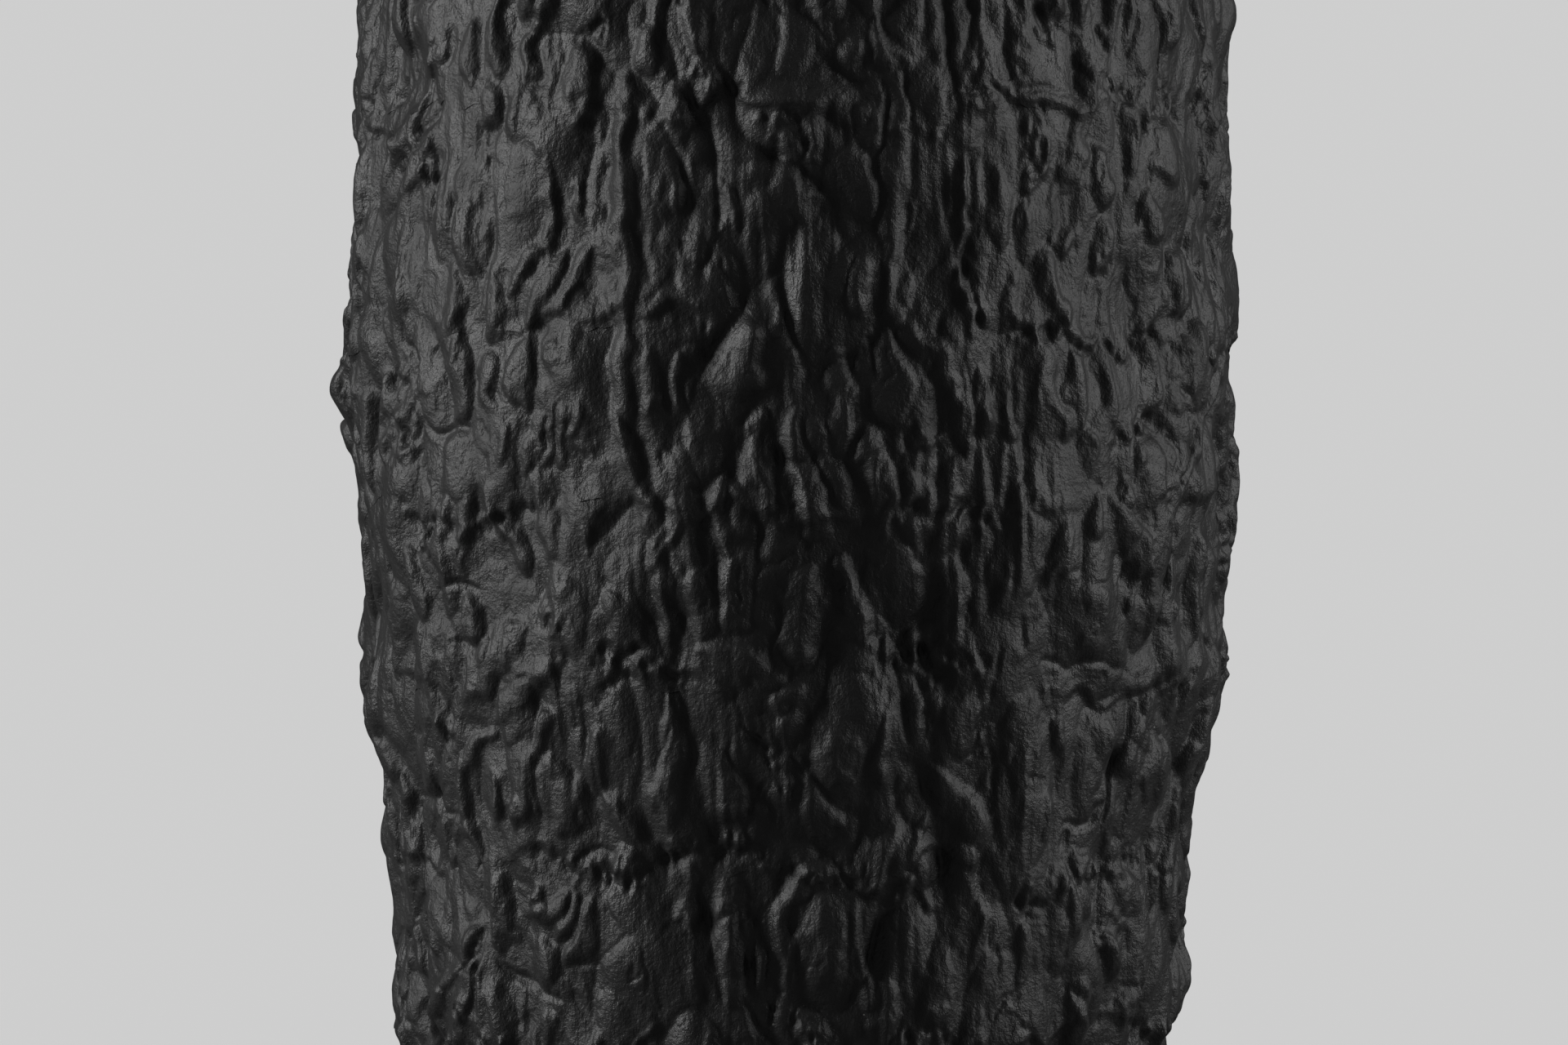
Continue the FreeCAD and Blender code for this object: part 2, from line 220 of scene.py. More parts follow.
    (-76, 400, -75, 380, -76, 358, 14, 0.6, 0.2), (-74, 345, -73, 330, -75, 312, 12, 0.8, 0.2),
    (-75, 290, -73, 272, -74, 252, 14, 0.6, 0.2), (-73, 236, -74, 220, -73, 203, 13, 0.8, 0.2),
    (-74, 185, -72, 165, -74, 145, 14, 0.6, 0.2), (76, 420, 75, 404, 76, 388, 13, 0.7, 0.2),
    (74, 360, 75, 340, 74, 318, 13, 0.9, 0.2), (73, 300, 75, 280, 74, 262, 14, 0.8, 0.2),
    (74, 240, 73, 222, 75, 205, 13, 0.8, 0.2), (73, 180, 75, 160, 73, 140, 14, 0.6, 0.2),
]
NARROW = 6.5  # bodies no wider than this are laid after the hollows are pressed

# Hollows at the front: the way along one, then its width and the level of its floor
HOLLOWS = [
    # the left
    (-60.8, 434, -60.6, 417, 4.5, -4.6), (-50, 420, -51, 413, -52.6, 405, 5, -5.2),
    (-48, 421, -48, 408, 4, -4.8), (-61.8, 404, -61.6, 397, 4, -4.6),
    (-53, 387, -54, 378, -54.5, 370, 6.5, -5.4), (-50.6, 393, -51, 380, -52.4, 366, -52, 345, 6.5, -6.0),
    (-43.3, 422, -43.2, 412, -44, 403, 8, -6.0), (-38, 422, -38, 410, 7, -5.4),
    (-32.5, 418, -33, 408, -34, 399, 13, -6.0), (-29.2, 434, -29, 414, 4.5, -4.8),
    (-22.4, 440, -22.3, 418, -22.8, 400, 8, -5.4), (-23, 402, -24, 385, -24.7, 364, 5.5, -4.4),
    (-24.7, 368, -25, 345, -25.6, 327, 4.5, -4.2), (-18.4, 386, -17.8, 368, -17.4, 344, 7, -5.8),
    (-30.5, 380, -29, 372, -28.4, 363, 9, -5.4), (-38.6, 346, -38, 336, 5, -5.4),
    (-54.2, 347, -54, 338, -53.3, 329, 7.5, -6.0), (-47, 351, -46, 335, -45.1, 318, -46, 304, 4, -5.0),
    (-62.5, 329, -62.4, 322, 6, -5.2), (-51.2, 332, -51.6, 317, 4.5, -5.2),
    (-51, 314, -51.6, 305, 3.5, -4.6), (-59.8, 300, -59.6, 292, 5, -5.2), (-57.2, 300, -57, 293, 4, -5.0),
    (-54.8, 293, -54.8, 280, 4.5, -5.2), (-43.5, 281, -42.5, 271, -41, 260, 14, -7.0),
    (-38.8, 319, -39.3, 308, 6, -5.4), (-35.8, 302, -36, 291, -35.6, 280, 3.5, -5.2),
    (-24, 303, -23.5, 290, 9, -6.4), (-23.6, 272, -24.3, 261, 5.5, -4.6),
    (-35.5, 253, -33.5, 247, -32.2, 240, 8, -5.8), (-32.6, 260, -32.3, 256, 3.5, -4.4),
    (-59.9, 260, -59.7, 245, 4, -5.4), (-64, 264, -63.5, 254, 8, -5.4),
    (-65.5, 287, -65, 275, -65, 264, 8, -5.6), (-54.5, 237, -52, 236, -49.5, 236.5, 5, -5.0),
    (-44, 247, -44, 238, 5, -5.4), (-53.8, 232, -54, 217, 5, -5.4),
    (-19, 261, -18.4, 250, -17.3, 240, 6.5, -5.8), (-13.4, 259, -14, 245, 5, -5.2),
    (-9.7, 275, -9.8, 262, -10.2, 252, 7, -5.6), (-58.6, 207, -58.8, 199, 5, -2.8),
    (-46.3, 201, -46.3, 191, -46, 182, 6.5, -6.0), (-42.3, 197, -42.3, 183, 6.5, -6.0),
    (-37.3, 205, -38, 194, -38.4, 183, 4, -5.0), (-38, 208, -41, 205, -44, 204, 5.5, -4.8),
    (-28.6, 212, -30.3, 203, -31.4, 196, 12, -5.2), (-19.9, 202, -19.6, 187, 5.5, -5.0),
    (-49, 173, -53, 168, -56.4, 159, 15, -6.0), (-51.5, 179, -50, 172, 7, -5.4),
    (-42, 166, -42.2, 155, 5.5, -5.4), (-37.6, 159, -39, 153, 4, -5.0), (-34.3, 146, -34.4, 137, 4.5, -5.4),
    (-36, 174, -33.4, 167, 5, -4.8), (-30, 166, -30, 158, 5.5, -5.0), (-48.4, 135, -48.6, 128, 7, -4.0),
    (-22, 122, -19, 116, -15.6, 109, 13, -5.4),
    # the middle
    (-8, 432, -8, 418, -8.5, 408, 8, -4.8), (-18.5, 419, -16.5, 411, -15.5, 404, 3.5, -5.0),
    (-12.5, 411, -12.2, 402, 6, -6.0), (-6.9, 409, -7.6, 402, 7, -6.0), (3.2, 399, 4.6, 395, 4.5, -6.5),
    (-13.5, 377, -9.5, 379.5, -5, 378, 6, -5.2), (-5, 372, -2.4, 370.5, 9, -5.6),
    (3.2, 375, 3, 368, 2.2, 361, 4.5, -5.6), (-16, 374, -15.6, 364, -16.2, 351, 5.5, -5.4),
    (10.4, 381, 8.5, 378, 7.6, 374, 4, -5.0), (19.1, 438, 19.6, 420, 20.6, 402, 5.5, -6.8),
    (18, 393, 18, 383, 5, -2.6), (18, 375, 17.6, 358, 17, 341, 8, -5.8),
    (23.2, 377, 23, 362, 22.6, 349, 6.5, -5.6), (11.4, 347, 11.6, 336, 3.5, -5.0),
    (-3.4, 345, -3, 328, -2.3, 314, 6, -5.8), (-3, 310, -5.4, 302, 4.5, -5.4),
    (-1, 307, -0.8, 290, -1.5, 267, 6, -5.6), (8.4, 298, 8.4, 286, 8, 273, 6, -5.6),
    (16.5, 311, 17.2, 304, 17, 298, 8, -5.4), (18.1, 282, 18.1, 272, 17.6, 261, 4, -5.4),
    (-0.6, 260, -0.7, 255, 3.5, -4.6), (8.9, 258, 9, 245, 9.5, 232, 4.5, -5.6),
    (17.6, 263, 17.7, 252, 16.9, 239, 4.5, -5.4), (26, 294, 26.4, 275, 26.2, 258, 23.6, 242, 10, -6.4),
    (22.4, 315, 22.7, 303, 23, 293, 4.5, -5.6), (18.6, 237, 18.6, 227, 6, -6.4),
    (-13.5, 219, -13.2, 210, 5.5, -4.2), (2.4, 216, 2.6, 206, 4, -5.4),
    (13.6, 193, 9, 181, 3, 171.5, 6.5, -6.0), (18.6, 207, 17, 201.5, 5, -5.4),
    (16.3, 199, 15.7, 188, 15.4, 179, 5, -5.0), (22.2, 183, 20.5, 176, 20, 170, 6, -5.6),
    (19, 157, 23.4, 156, 8, -5.4), (-7.5, 167, -4.5, 166, -2.6, 162, 9, -5.8),
    (9.6, 157, 10, 148, 10.3, 140, 4.5, -5.4), (1.2, 126.5, 3.3, 129.5, 5, 126, 4.5, -5.0),
    (0.4, 122.5, 3, 121, 5.6, 124, 3.5, -5.6), (24.3, 132, 23.7, 124, 23, 113, 4, -5.4),
    # the right
    (29, 436, 28.5, 418, 28, 403, 9, -5.0), (27.8, 399, 28, 388, 28.7, 376, 9.5, -6.0),
    (39, 412, 38.6, 406, 38.4, 400, 6.5, -6.0), (44.6, 434, 44, 422, 44.6, 412, 11, -6.2),
    (48.4, 428, 48.4, 420, 5, -5.0), (45, 399, 45.4, 390, 46, 381, 5.5, -6.0),
    (47.3, 381, 46.5, 369, 6.5, -6.0), (50.4, 368, 48, 360, 7, -6.0), (51.6, 411, 50.6, 402, 5, -5.4),
    (35, 387, 34.6, 374, 34, 362, 5, -6.2), (34.4, 363, 38, 366, 42, 372, 5, -5.8),
    (30.2, 362, 29.8, 352, 4, -5.2), (42.2, 341, 41, 332, 40, 325, 8, -6.2),
    (46.5, 335, 47, 326, 46.6, 318, 6, -6.0), (34.6, 334, 33.4, 328, 6, -5.4),
    (56.8, 341, 56.3, 334, 3.5, -3.8), (52.8, 357, 51.6, 349, 4.5, -5.6), (53, 392, 53.6, 383, 4.5, -5.4),
    (58.6, 403, 60.4, 400, 62.6, 395, 5, -5.6), (56, 405, 56.4, 400, 3.5, -5.2),
    (62, 431, 65, 425, 69, 421, 6, -5.6), (28.6, 332, 28.2, 314, 29, 296, 9, -5.8),
    (33.4, 314, 33.8, 304, 34.2, 294, 3.5, -4.2), (41.3, 323, 41, 312, 40.4, 304, 5.5, -5.8),
    (36.8, 330, 37.4, 317, 4.5, -5.2), (44.2, 298, 44, 292, 5, -5.4), (30.4, 245, 30.8, 233, 5.5, -6.4),
    (35, 268, 34.6, 263, 3, -4.4), (38.7, 281, 39.1, 270, 39, 262, 4.5, -6.0),
    (41.2, 286, 41, 274, 4, -5.4), (51.5, 277, 51.7, 267, 5.5, -5.0), (46.2, 268, 46.7, 261, 5, -4.0),
    (57, 263, 57, 252, 7, -5.8), (56, 279, 57.5, 270, 57, 262, 5.5, -5.6),
    (55, 246, 56, 238, 58.6, 235, 6, -5.6), (57.6, 328, 58.4, 310, 59.7, 292, 4.5, -5.6),
    (62.4, 308, 63, 303, 6, -1.8), (26.4, 216, 26.6, 202, 27.6, 183, 7.5, -6.4),
    (24, 211, 24, 204, 5, -5.4), (36, 228, 36.6, 210, 39.5, 189, 6.5, -6.2),
    (48.4, 204, 49.8, 198, 8, -6.6), (42.5, 180, 41.3, 174, 4.5, -5.2), (49.7, 180, 48.3, 169, 6.5, -6.2),
    (48, 169, 48, 155, 6, -6.2), (35.2, 163, 33, 152, 31.3, 144, 8.5, -5.6),
    (30, 147, 30.6, 135, 5.5, -6.2), (50.6, 152, 54, 146, 58.4, 139, 7, -6.2),
    (56.4, 161, 60, 156.5, 5.5, -5.6), (52.4, 128, 53.6, 120, 4.5, -5.6), (55.8, 194, 58.8, 185.5, 6, -5.6),
    (57.8, 210, 62.4, 203, 6, -6.2), (66.8, 172, 67, 155, 5.5, -5.6),
    (30.6, 123, 34, 117, 37.6, 111, 12, -5.2), (54, 173, 55, 167, 4, -4.6),
]

# Creases at the front: the way along one, then its width and its depth
CREASES = [
    (-60.5, 428, -57, 430, -55, 433, 2.2, 1.6), (-52, 397, -55, 393, -58.4, 389, 3, 2.6),
    (-45.6, 392, -43, 389.6, -40.6, 391.5, 2.4, 2.2), (-40.6, 398, -40.4, 391, 2.4, 2.0),
    (-36.6, 432, -38.8, 425, 3, 3.0), (-38, 342.5, -36, 342, -34.8, 347, 2.8, 2.4),
    (-45.2, 350, -44.6, 342, -43.8, 338, 1.9, 1.5), (-43.5, 349, -43.7, 339, -44.4, 333, 1.9, 1.5),
    (-44.8, 356, -42.8, 354.5, -41.6, 357, 1.8, 1.2), (-55.5, 300.5, -50, 299.6, -44.5, 300.7, 3.4, 2.6),
    (-42.4, 292, -42.5, 286, 2.4, 1.6), (-51.4, 249, -48, 252, -44, 251, 3, 2.6),
    (-50.4, 236, -48, 234, -45.6, 232.5, 3, 2.4), (-36, 230, -39, 226, -42.4, 221.5, 2.8, 1.8),
    (-36, 333, -34.5, 322, -35, 312, 2.2, 1.2), (-67.5, 188.5, -62, 190, -54, 192.5, 3.2, 2.2),
    (-62, 180.5, -55, 183, -49.6, 181.5, 2.6, 1.8),
    (-21.2, 218, -22.2, 200, -22.5, 185, -21, 167, 1.8, 0.9), (-67, 154, -63, 140, -54, 128, 2.4, 1.6),
    (-61, 148, -57, 140, -52, 134, 2.2, 1.2), (-47, 141, -43.4, 134, -39, 129.5, -35, 129, 3, 3.0),
    (-33, 170.5, -29, 172.2, -24.6, 174, 2.4, 2.4), (-34, 139, -29.5, 141.5, -23, 151, 2.6, 1.8),
    (-34, 130, -32.4, 127, -31, 124, 2, 1.4), (-25, 176, -20, 174, -14, 169.5, 2.2, 1.6),
    (-21.6, 147, -21.2, 133, 1.8, 1.0), (-4.4, 438, -3.3, 428, -1.6, 418, 2.8, 2.8),
    (4.2, 407, 7, 404.4, 9.8, 402, 3, 2.8), (4.6, 396, 3, 392, -0.8, 391.5, 2.2, 2.0),
    (5.2, 394, 6, 388, 7.2, 382.5, 2.2, 2.0), (2, 407, 5, 405, 8, 403, 2, 1.4),
    (-9, 351, -8, 342, -6.6, 333, 3, 2.0), (12.4, 405, 14.5, 398, 15.3, 390, 2.6, 2.2),
    (1.6, 420, 2.4, 416, 3.4, 411, 2.4, 1.6), (-10.2, 329, -10.6, 320, -10.4, 312, 1.6, 0.9),
    (-9, 329, -9.3, 320, -9.2, 313, 1.5, 0.9), (-7.8, 328, -8, 320, -7.7, 315, 1.5, 0.9),
    (-12, 316, -12.5, 309, -12, 303, 2.2, 1.6), (-1, 247, -2.7, 238, -2.8, 233, -0.8, 229, 2.2, 1.8),
    (-0.5, 226.5, 2.5, 231, 5.2, 235, 2.4, 2.0), (2.8, 264, -1, 262, -3.6, 258, 2.2, 1.4),
    (-13, 282.5, -11.6, 281, -10.2, 281.5, 2, 1.6), (-5.6, 209, -3.6, 202, -4.3, 190, 2.2, 1.6),
    (-6, 206, -2, 208.5, 1.6, 202, 1, 189, 2.4, 1.8), (7.8, 209, 7.6, 200, 6.2, 193, 2.2, 1.6),
    (12.5, 193, 15.4, 192.6, 1.8, 1.4), (-8.4, 128.5, -4, 122.5, 0.5, 117.5, 3.2, 2.8),
    (-11, 152, -9.6, 156, -7.6, 159, 2.4, 1.8), (-2.8, 216, -0.8, 217, 1, 217, 2.6, 2.4),
    (16, 438, 17.5, 431, 19, 426.5, 2.6, 2.8), (21.6, 402.5, 26, 401, 32, 399.5, 38.5, 400.5, 3, 2.0),
    (13, 288, 12, 282, 11.6, 275, 2, 1.0), (36.4, 262.5, 33.5, 256, 30.6, 248.5, 2.8, 2.4),
    (33.7, 251, 34.5, 244, 2.4, 2.0), (35.4, 274, 34.6, 266, 33, 260, 2.2, 1.6),
    (44.6, 282, 47.2, 276.4, 49.6, 273.6, 2.4, 2.2), (37, 258, 40, 260, 43, 264, 2, 1.2),
    (34, 231, 42, 230.4, 50, 228, 2.6, 2.0), (55.2, 358.5, 58, 355.3, 61.4, 358, 3, 2.8),
    (62, 357, 64, 350, 66, 345, 2.4, 1.8), (34.6, 353, 36.5, 358, 38.2, 363, 2, 1.4),
    (48.4, 191, 45, 185, 40.8, 180.5, 3, 2.8), (49, 149, 52, 144, 57, 136, 2, 1.4),
    (29.4, 122, 31, 127, 33.4, 131.5, 2.4, 2.0), (52, 229, 52.8, 225, 52.6, 220, 2, 1.6),
    (45.2, 227, 45.8, 224.5, 2.4, 2.0),
]

# Ragged places at the front, where the clay has torn and crumbled: the way along one, then its width
RAGGED = [
    (-56, 324, -60, 306, -58, 286, 22), (-24.5, 423, -26.5, 417, -29, 414, 6), (-27.2, 373, -27, 361, 6),
    (-53, 388, -54, 370, 7), (-52, 272, -54, 260, 8), (-27, 231, -20, 230, -13, 227, 11),
    (-32.6, 246, -31.6, 240, 5), (-56, 214, -51, 205, 8), (-55, 124, -54, 116, 7),
    (-5, 390, -1, 389, 3, 380, 11), (1, 377, 3, 368, 6), (-14, 408, -11, 404, -5, 404, 8),
    (14, 302, 17, 296, 19, 291, 8), (8, 236, 16, 232, 27, 231, 12), (-4, 211, -2, 200, -1, 190, 8),
    (1, 125, 5, 123, 8), (14, 119, 20, 113, 9), (20.5, 372, 23, 344, 25, 328, 9), (32, 395, 32, 370, 9),
    (34, 436, 36, 412, 10), (40, 412, 46, 404, 51, 394, 8), (40, 352, 46, 344, 8),
    (43, 300, 49, 299, 57, 302, 7), (56, 410, 60, 402, 64, 394, 9), (55.5, 277, 58, 266, 7),
    (58, 247, 62, 243, 8), (24.6, 214, 28, 203, 7), (34, 166, 35, 156, 8), (17, 176, 16, 160, 7),
    (-41, 125, -45, 116, 8),
]

STONEWARE_TONES = (0.018, 0.029)  # the fired clay's darkest and lightest grey
SPECK_TONE = (0.45, 0.45, 0.43, 1)  # its tiny pale grains

# How the frame's wall is turned
COURSES = [f"wall_course_{number}" for number in range(1, 10)]
PROFILE_EASE = 11.0  # how far the profile's corners at the seams are rounded
PROFILE_BULGE = 0.7  # how far the eased profile is moved out, to make up for its rounded corners
INNER_COLUMNS = 320
ROW_HEIGHT = 0.7  # how far apart the rows of a visual wall are
MOST_ROWS = 74
LIP_REACH = 2.5  # how far up from a joint the upper course's lapping lip reaches
TUCK_REACH = 2.0  # how far down from a joint the lower course is tucked in

# The rim, the slab, the foot and the glaze
LIP_ROUND = 6.0
RIM_ROWS = 50
LIP_ROWS = 20
INSIDE_ROWS = 7
THUMBED_LIP = 1.1  # how far the lip rises and falls
SLAB_MARKS = 0.3  # how deep the marks under the slab are
SLAB_HIDDEN = 73.0  # farther out the foot ring covers the slab's underside
FOOT_COLUMNS = 640
FOOT_ROUND = 2.0
FOOT_MARKS = 0.3  # how much of the wall's relief the foot ring has
FOOT_BULGE = 0.8
FOOT_INSIDE_MARKS = 572.0  # the height of the relief that the foot ring's inner side takes
FLOOR_COIL = 12.0  # the floor coil's reach along the floor and up the wall
HOLLOW_SAG = 1.8  # how far the glaze hangs over the floor coil
GLAZE = 0.8
GLAZE_STOP = 10.0  # how far below the lip the glaze ends
GLAZE_MORE = 0.35  # how much thicker the visual glaze is than the frame's
GLAZE_COLUMNS = 320
GLAZE_ROWS = 230
BACK_COLUMNS = 64  # the hidden back of the glaze has fewer
FINGER_RISE = 11.0  # how far apart the throwing ripples of the glaze are
FINGER_DEPTH = 0.17
POOL = 0.6  # how much deeper the glaze is in the middle of the floor


# ---- soft random fields
def soft_filter(shape, size_u, size_v):
    """How much of each wave of a field a soft spot with these radii keeps."""
    waves_v = np.fft.fftfreq(shape[0], STEP[1])[:, None]
    waves_u = np.fft.rfftfreq(shape[1], STEP[0])[None, :]
    return np.exp(-2 * (np.pi * waves_u * size_u) ** 2 - 2 * (np.pi * waves_v * size_v) ** 2)


def blurred(field, size_u, size_v):
    """A field softened by a spot with these radii."""
    return np.fft.irfft2(np.fft.rfft2(field) * soft_filter(field.shape, size_u, size_v), s=field.shape)


def read_aside(field, shift_u, shift_v):
    """field read a little along and up from each of its cells, which bends its shapes."""
    rows, columns = np.indices(field.shape, dtype=float)
    rows = np.clip(rows + shift_v / STEP[1], 0, field.shape[0] - 1.001)
    columns = columns + shift_u / STEP[0]
    low, first = np.floor(rows).astype(int), np.floor(columns).astype(int)
    part_v, part_u = rows - low, columns - first
    first, second = first % field.shape[1], (first + 1) % field.shape[1]
    below = field[low, first] * (1 - part_u) + field[low, second] * part_u
    above = field[low + 1, first] * (1 - part_u) + field[low + 1, second] * part_u
    return below * (1 - part_v) + above * part_v


# ---- the clay's surface
def smooth_track(way):
    """A way as a smooth curve of close points, round the wall and up it, and its run at each one."""
    points = np.reshape(way, (-1, 2)) * (PER_DEGREE, 1)
    corners = np.concatenate([[0], np.cumsum(np.hypot(*np.diff(points, axis=0).T))])
    run = np.linspace(0, corners[-1], max(int(corners[-1] / TRACK_STEP), 4) + 1)
    curves = [np.polyfit(corners, axis, len(points) - 1) for axis in points.T]
    return np.stack([np.polyval(curve, run) for curve in curves]), run


class Clay:
    """The height of the clay over the smooth wall."""

    def __init__(self):
        self.rng = np.random.default_rng(SEED)
        self.shape = (int(FIELD_HEIGHT / ROW_STEP) + 1, COLUMNS)
        self.up = np.arange(self.shape[0]) * ROW_STEP
        aside = np.abs((np.arange(COLUMNS) / COLUMNS + 0.5) % 1 - 0.5) * 360
        eased = np.clip((aside - FRONT_EASE[0]) / FRONT_EASE[1], 0, 1)
        self.kept = KEPT_AT_FRONT + (KEPT_AT_SIDES - KEPT_AT_FRONT) * eased
        self.high = np.zeros(self.shape)
        self.ragged = np.zeros(self.shape)
        # How far folds are bent, and how far forms wander, round the wall and up it
        self.bend_u = 2.0 * self.hills(13, 22) + 0.7 * self.hills(4, 7)
        self.bend_v = 2.5 * self.hills(16, 16) + 0.9 * self.hills(4, 4)
        self.wobble_u = 1.3 * self.hills(5, 8) + 0.9 * self.hills(2, 3) + 0.35 * self.hills(1, 1.4)
        self.wobble_v = 1.4 * self.hills(6, 6) + 0.8 * self.hills(2.4, 2.4)

    def hills(self, size_u, size_v):
        """Soft random hills with these radii, of mean 0 and spread 1."""
        field = blurred(self.rng.standard_normal(self.shape), size_u, size_v)
        return (field - field.mean()) / field.std()

    def folds(self, size_u, size_v):
        """Rounded forms with sharp creases between them."""
        return read_aside(np.abs(self.hills(size_u, size_v)), self.bend_u, self.bend_v) ** 0.7

    def near(self, track, reach):
        """The rows and the columns of the relief within reach of a track."""
        ends = np.array([track[0].min() - reach, track[0].max() + reach])
        columns = np.arange(*np.round(ends / STEP[0])).astype(int)
        low = max(0, int((track[1].min() - reach) / ROW_STEP))
        top = min(self.shape[0], int((track[1].max() + reach) / ROW_STEP))
        return np.arange(low, top), columns

    def form(self, way, width, steep=0.0, edge=1.0, bow=2.1):
        """The cells near a way along the wall, and a form there: 1 on its crest, 0 outside it.

        Its section is round with a bow of 2 or more and V-shaped with a bow of 1, and an edge above 1
        flares it out at its foot.
        """
        track, run = smooth_track(way)
        rows, columns = self.near(track, width / 2 + FORM_REACH)
        cells = np.ix_(rows, columns % COLUMNS)
        # How far each cell lies from the nearest point of the track, round the wall and up it
        beside = (columns * STEP[0] + self.wobble_u[cells])[..., None] - track[0]
        above = (self.up[rows][:, None] + self.wobble_v[cells])[..., None] - track[1]
        nearest = np.argmin(beside**2 + above**2, axis=2)
        beside = np.take_along_axis(beside, nearest[..., None], 2)[..., 0]
        above = np.take_along_axis(above, nearest[..., None], 2)[..., 0]
        heading = np.gradient(track, axis=1)
        heading = (heading / np.hypot(*heading))[:, nearest]
        along = (run[nearest] + heading[0] * beside + heading[1] * above) / run[-1]
        from_middle = np.clip(np.abs(2 * along - 1), 0, 1)
        # Across the form from -1 to 1, with its crest moved to the steep side
        across = heading[0] * above - heading[1] * beside
        across = across / (width / 2 * np.maximum(1 - from_middle**3, 1e-4) ** 0.6)
        across = np.where(across > steep, (across - steep) / (1 - steep), (across - steep) / (1 + steep))
        return cells, np.clip(1 - np.abs(across) ** bow, 0, 1) ** edge * (1 - from_middle**4) ** 0.7

    def settled(self, level, cells=(slice(None), slice(None))):
        """Where clay laid at a level ends up."""
        return SETTLED + self.kept[cells[1]] * (level - SETTLED)

    def lay(self, way, width, crest, steep):
        """Lays a body of clay on the wall: it shows where it is higher than the clay there."""
        # A wide body falls farther from its crest to its sides than a narrow one does
        cells, dome = self.form(way, width, steep, edge=min(max(0.75, 0.65 + 0.02 * width), 1.0))
        drop = min(crest - SEAT, 0.6 + 0.3 * width)
        below, above = self.high[cells], self.settled(crest - drop * (1 - dome), cells)
        joined = (below + above + np.sqrt((below - above) ** 2 + 0.12)) / 2
        self.high[cells] = below + (joined - below) * np.clip(dome * 4, 0, 1)

    def press(self, way, width, floor):
        """Presses a hollow down towards its floor, with one side steeper than the other."""
        lean = -HOLLOW_LEAN if way[0] < 0 else HOLLOW_LEAN
        cells, bowl = self.form(way, width * 1.3, lean, edge=1.2, bow=1.15)
        depth = np.minimum(self.high[cells] - self.settled(floor, cells), 0.42 * width)
        self.high[cells] -= depth * PRESSED * bowl

    def add(self, way, width, lift, steep=0.0, bow=2.1):
        """Adds clay to what is there, or takes it away where lift is negative."""
        cells, dome = self.form(way, width, steep, bow=bow)
        self.high[cells] += lift * dome

    def tear(self, way, width):
        """Makes the clay ragged along a way."""
        cells, dome = self.form(way, width)
        self.ragged[cells] = np.maximum(self.ragged[cells], dome**0.5)

    def somewhere(self, lengths, lean, bow):
        """A random way of three points that runs down the wall."""
        rng = self.rng
        degrees, height = rng.uniform(-180, 180), rng.uniform(0, FIELD_HEIGHT)
        half = rng.uniform(*lengths) / 2
        tilt = rng.normal(0, lean)
        side, rise = half * math.sin(tilt) / PER_DEGREE, half * math.cos(tilt)
        bend = rng.normal(0, bow) / PER_DEGREE
        return [degrees - side, height + rise, degrees + bend, height, degrees + side, height - rise]


def at_front(way):
    """Whether a way's middle is in the part of the wall that has its own list of forms."""
    degrees, height = way[2:4]
    return abs(degrees) < FRONT[0] and FRONT[1] < height < FRONT[2]


def scatter_bodies(clay, count):
    """Bodies of clay of all sizes, outside the front's own part of the wall."""
    rng = clay.rng
    for _ in range(count):
        way = clay.somewhere(lengths=(14, 56), lean=0.22, bow=1.6)
        width, crest, steep = rng.gamma(6, 1.9), rng.normal(0.8, 0.45), rng.uniform(-0.6, 0.6)
        if not at_front(way):
            clay.lay(way, max(width, 4), crest, steep)


def scatter_hollows(clay, count):
    """Hollows, outside the front's own part of the wall."""
    rng = clay.rng
    for _ in range(count):
        way = clay.somewhere(lengths=(8, 26), lean=0.3, bow=0.8)
        width, floor = rng.uniform(3, 8), rng.uniform(-6.4, -4.6)
        if not at_front(way):
            clay.press(way, width, floor)


def scatter_creases(clay, count):
    """Creases at all angles, outside the front's own part of the wall."""
    rng = clay.rng
    for _ in range(count):
        way = clay.somewhere(lengths=(8, 24), lean=0.8, bow=1.2)
        width, depth = rng.uniform(1.8, 3.2), rng.uniform(0.6, 1.7)
        if not at_front(way):
            clay.add(way, width, -depth)


def scatter_small_marks(clay, count):
    """Small ridges and dents all over the clay, mostly up and down."""
    rng = clay.rng
    for _ in range(count):
        way = clay.somewhere(lengths=(6, 26), lean=0.6, bow=1.4)
        width = rng.uniform(2.4, 11)
        lift = rng.uniform(0.03, 0.09) * width * rng.choice([1, 1, -1])
        clay.add(way, width, lift, rng.uniform(-0.9, 0.9))


def nick(clay, count):
    """Short narrow cuts and pinches all over the clay."""
    rng = clay.rng
    for _ in range(count):
        way = clay.somewhere(lengths=(3, 10), lean=0.55, bow=0.6)
        width, lift = rng.uniform(1.5, 2.6), rng.uniform(-0.8, -0.2)
        clay.add(way, width, lift, rng.uniform(-0.5, 0.5))


def furrow(clay, count):
    """Sharp furrows between the bodies of clay, round the sides and the back."""
    rng = clay.rng
    for _ in range(count):
        way = clay.somewhere(lengths=(9, 34), lean=0.3, bow=1.6)
        width, depth = rng.uniform(3.5, 7), rng.uniform(0.8, 2.2)
        if abs(way[2]) > FURROWS_FROM:
            clay.add(way, width, -depth, rng.uniform(-0.6, 0.6), bow=1.1)


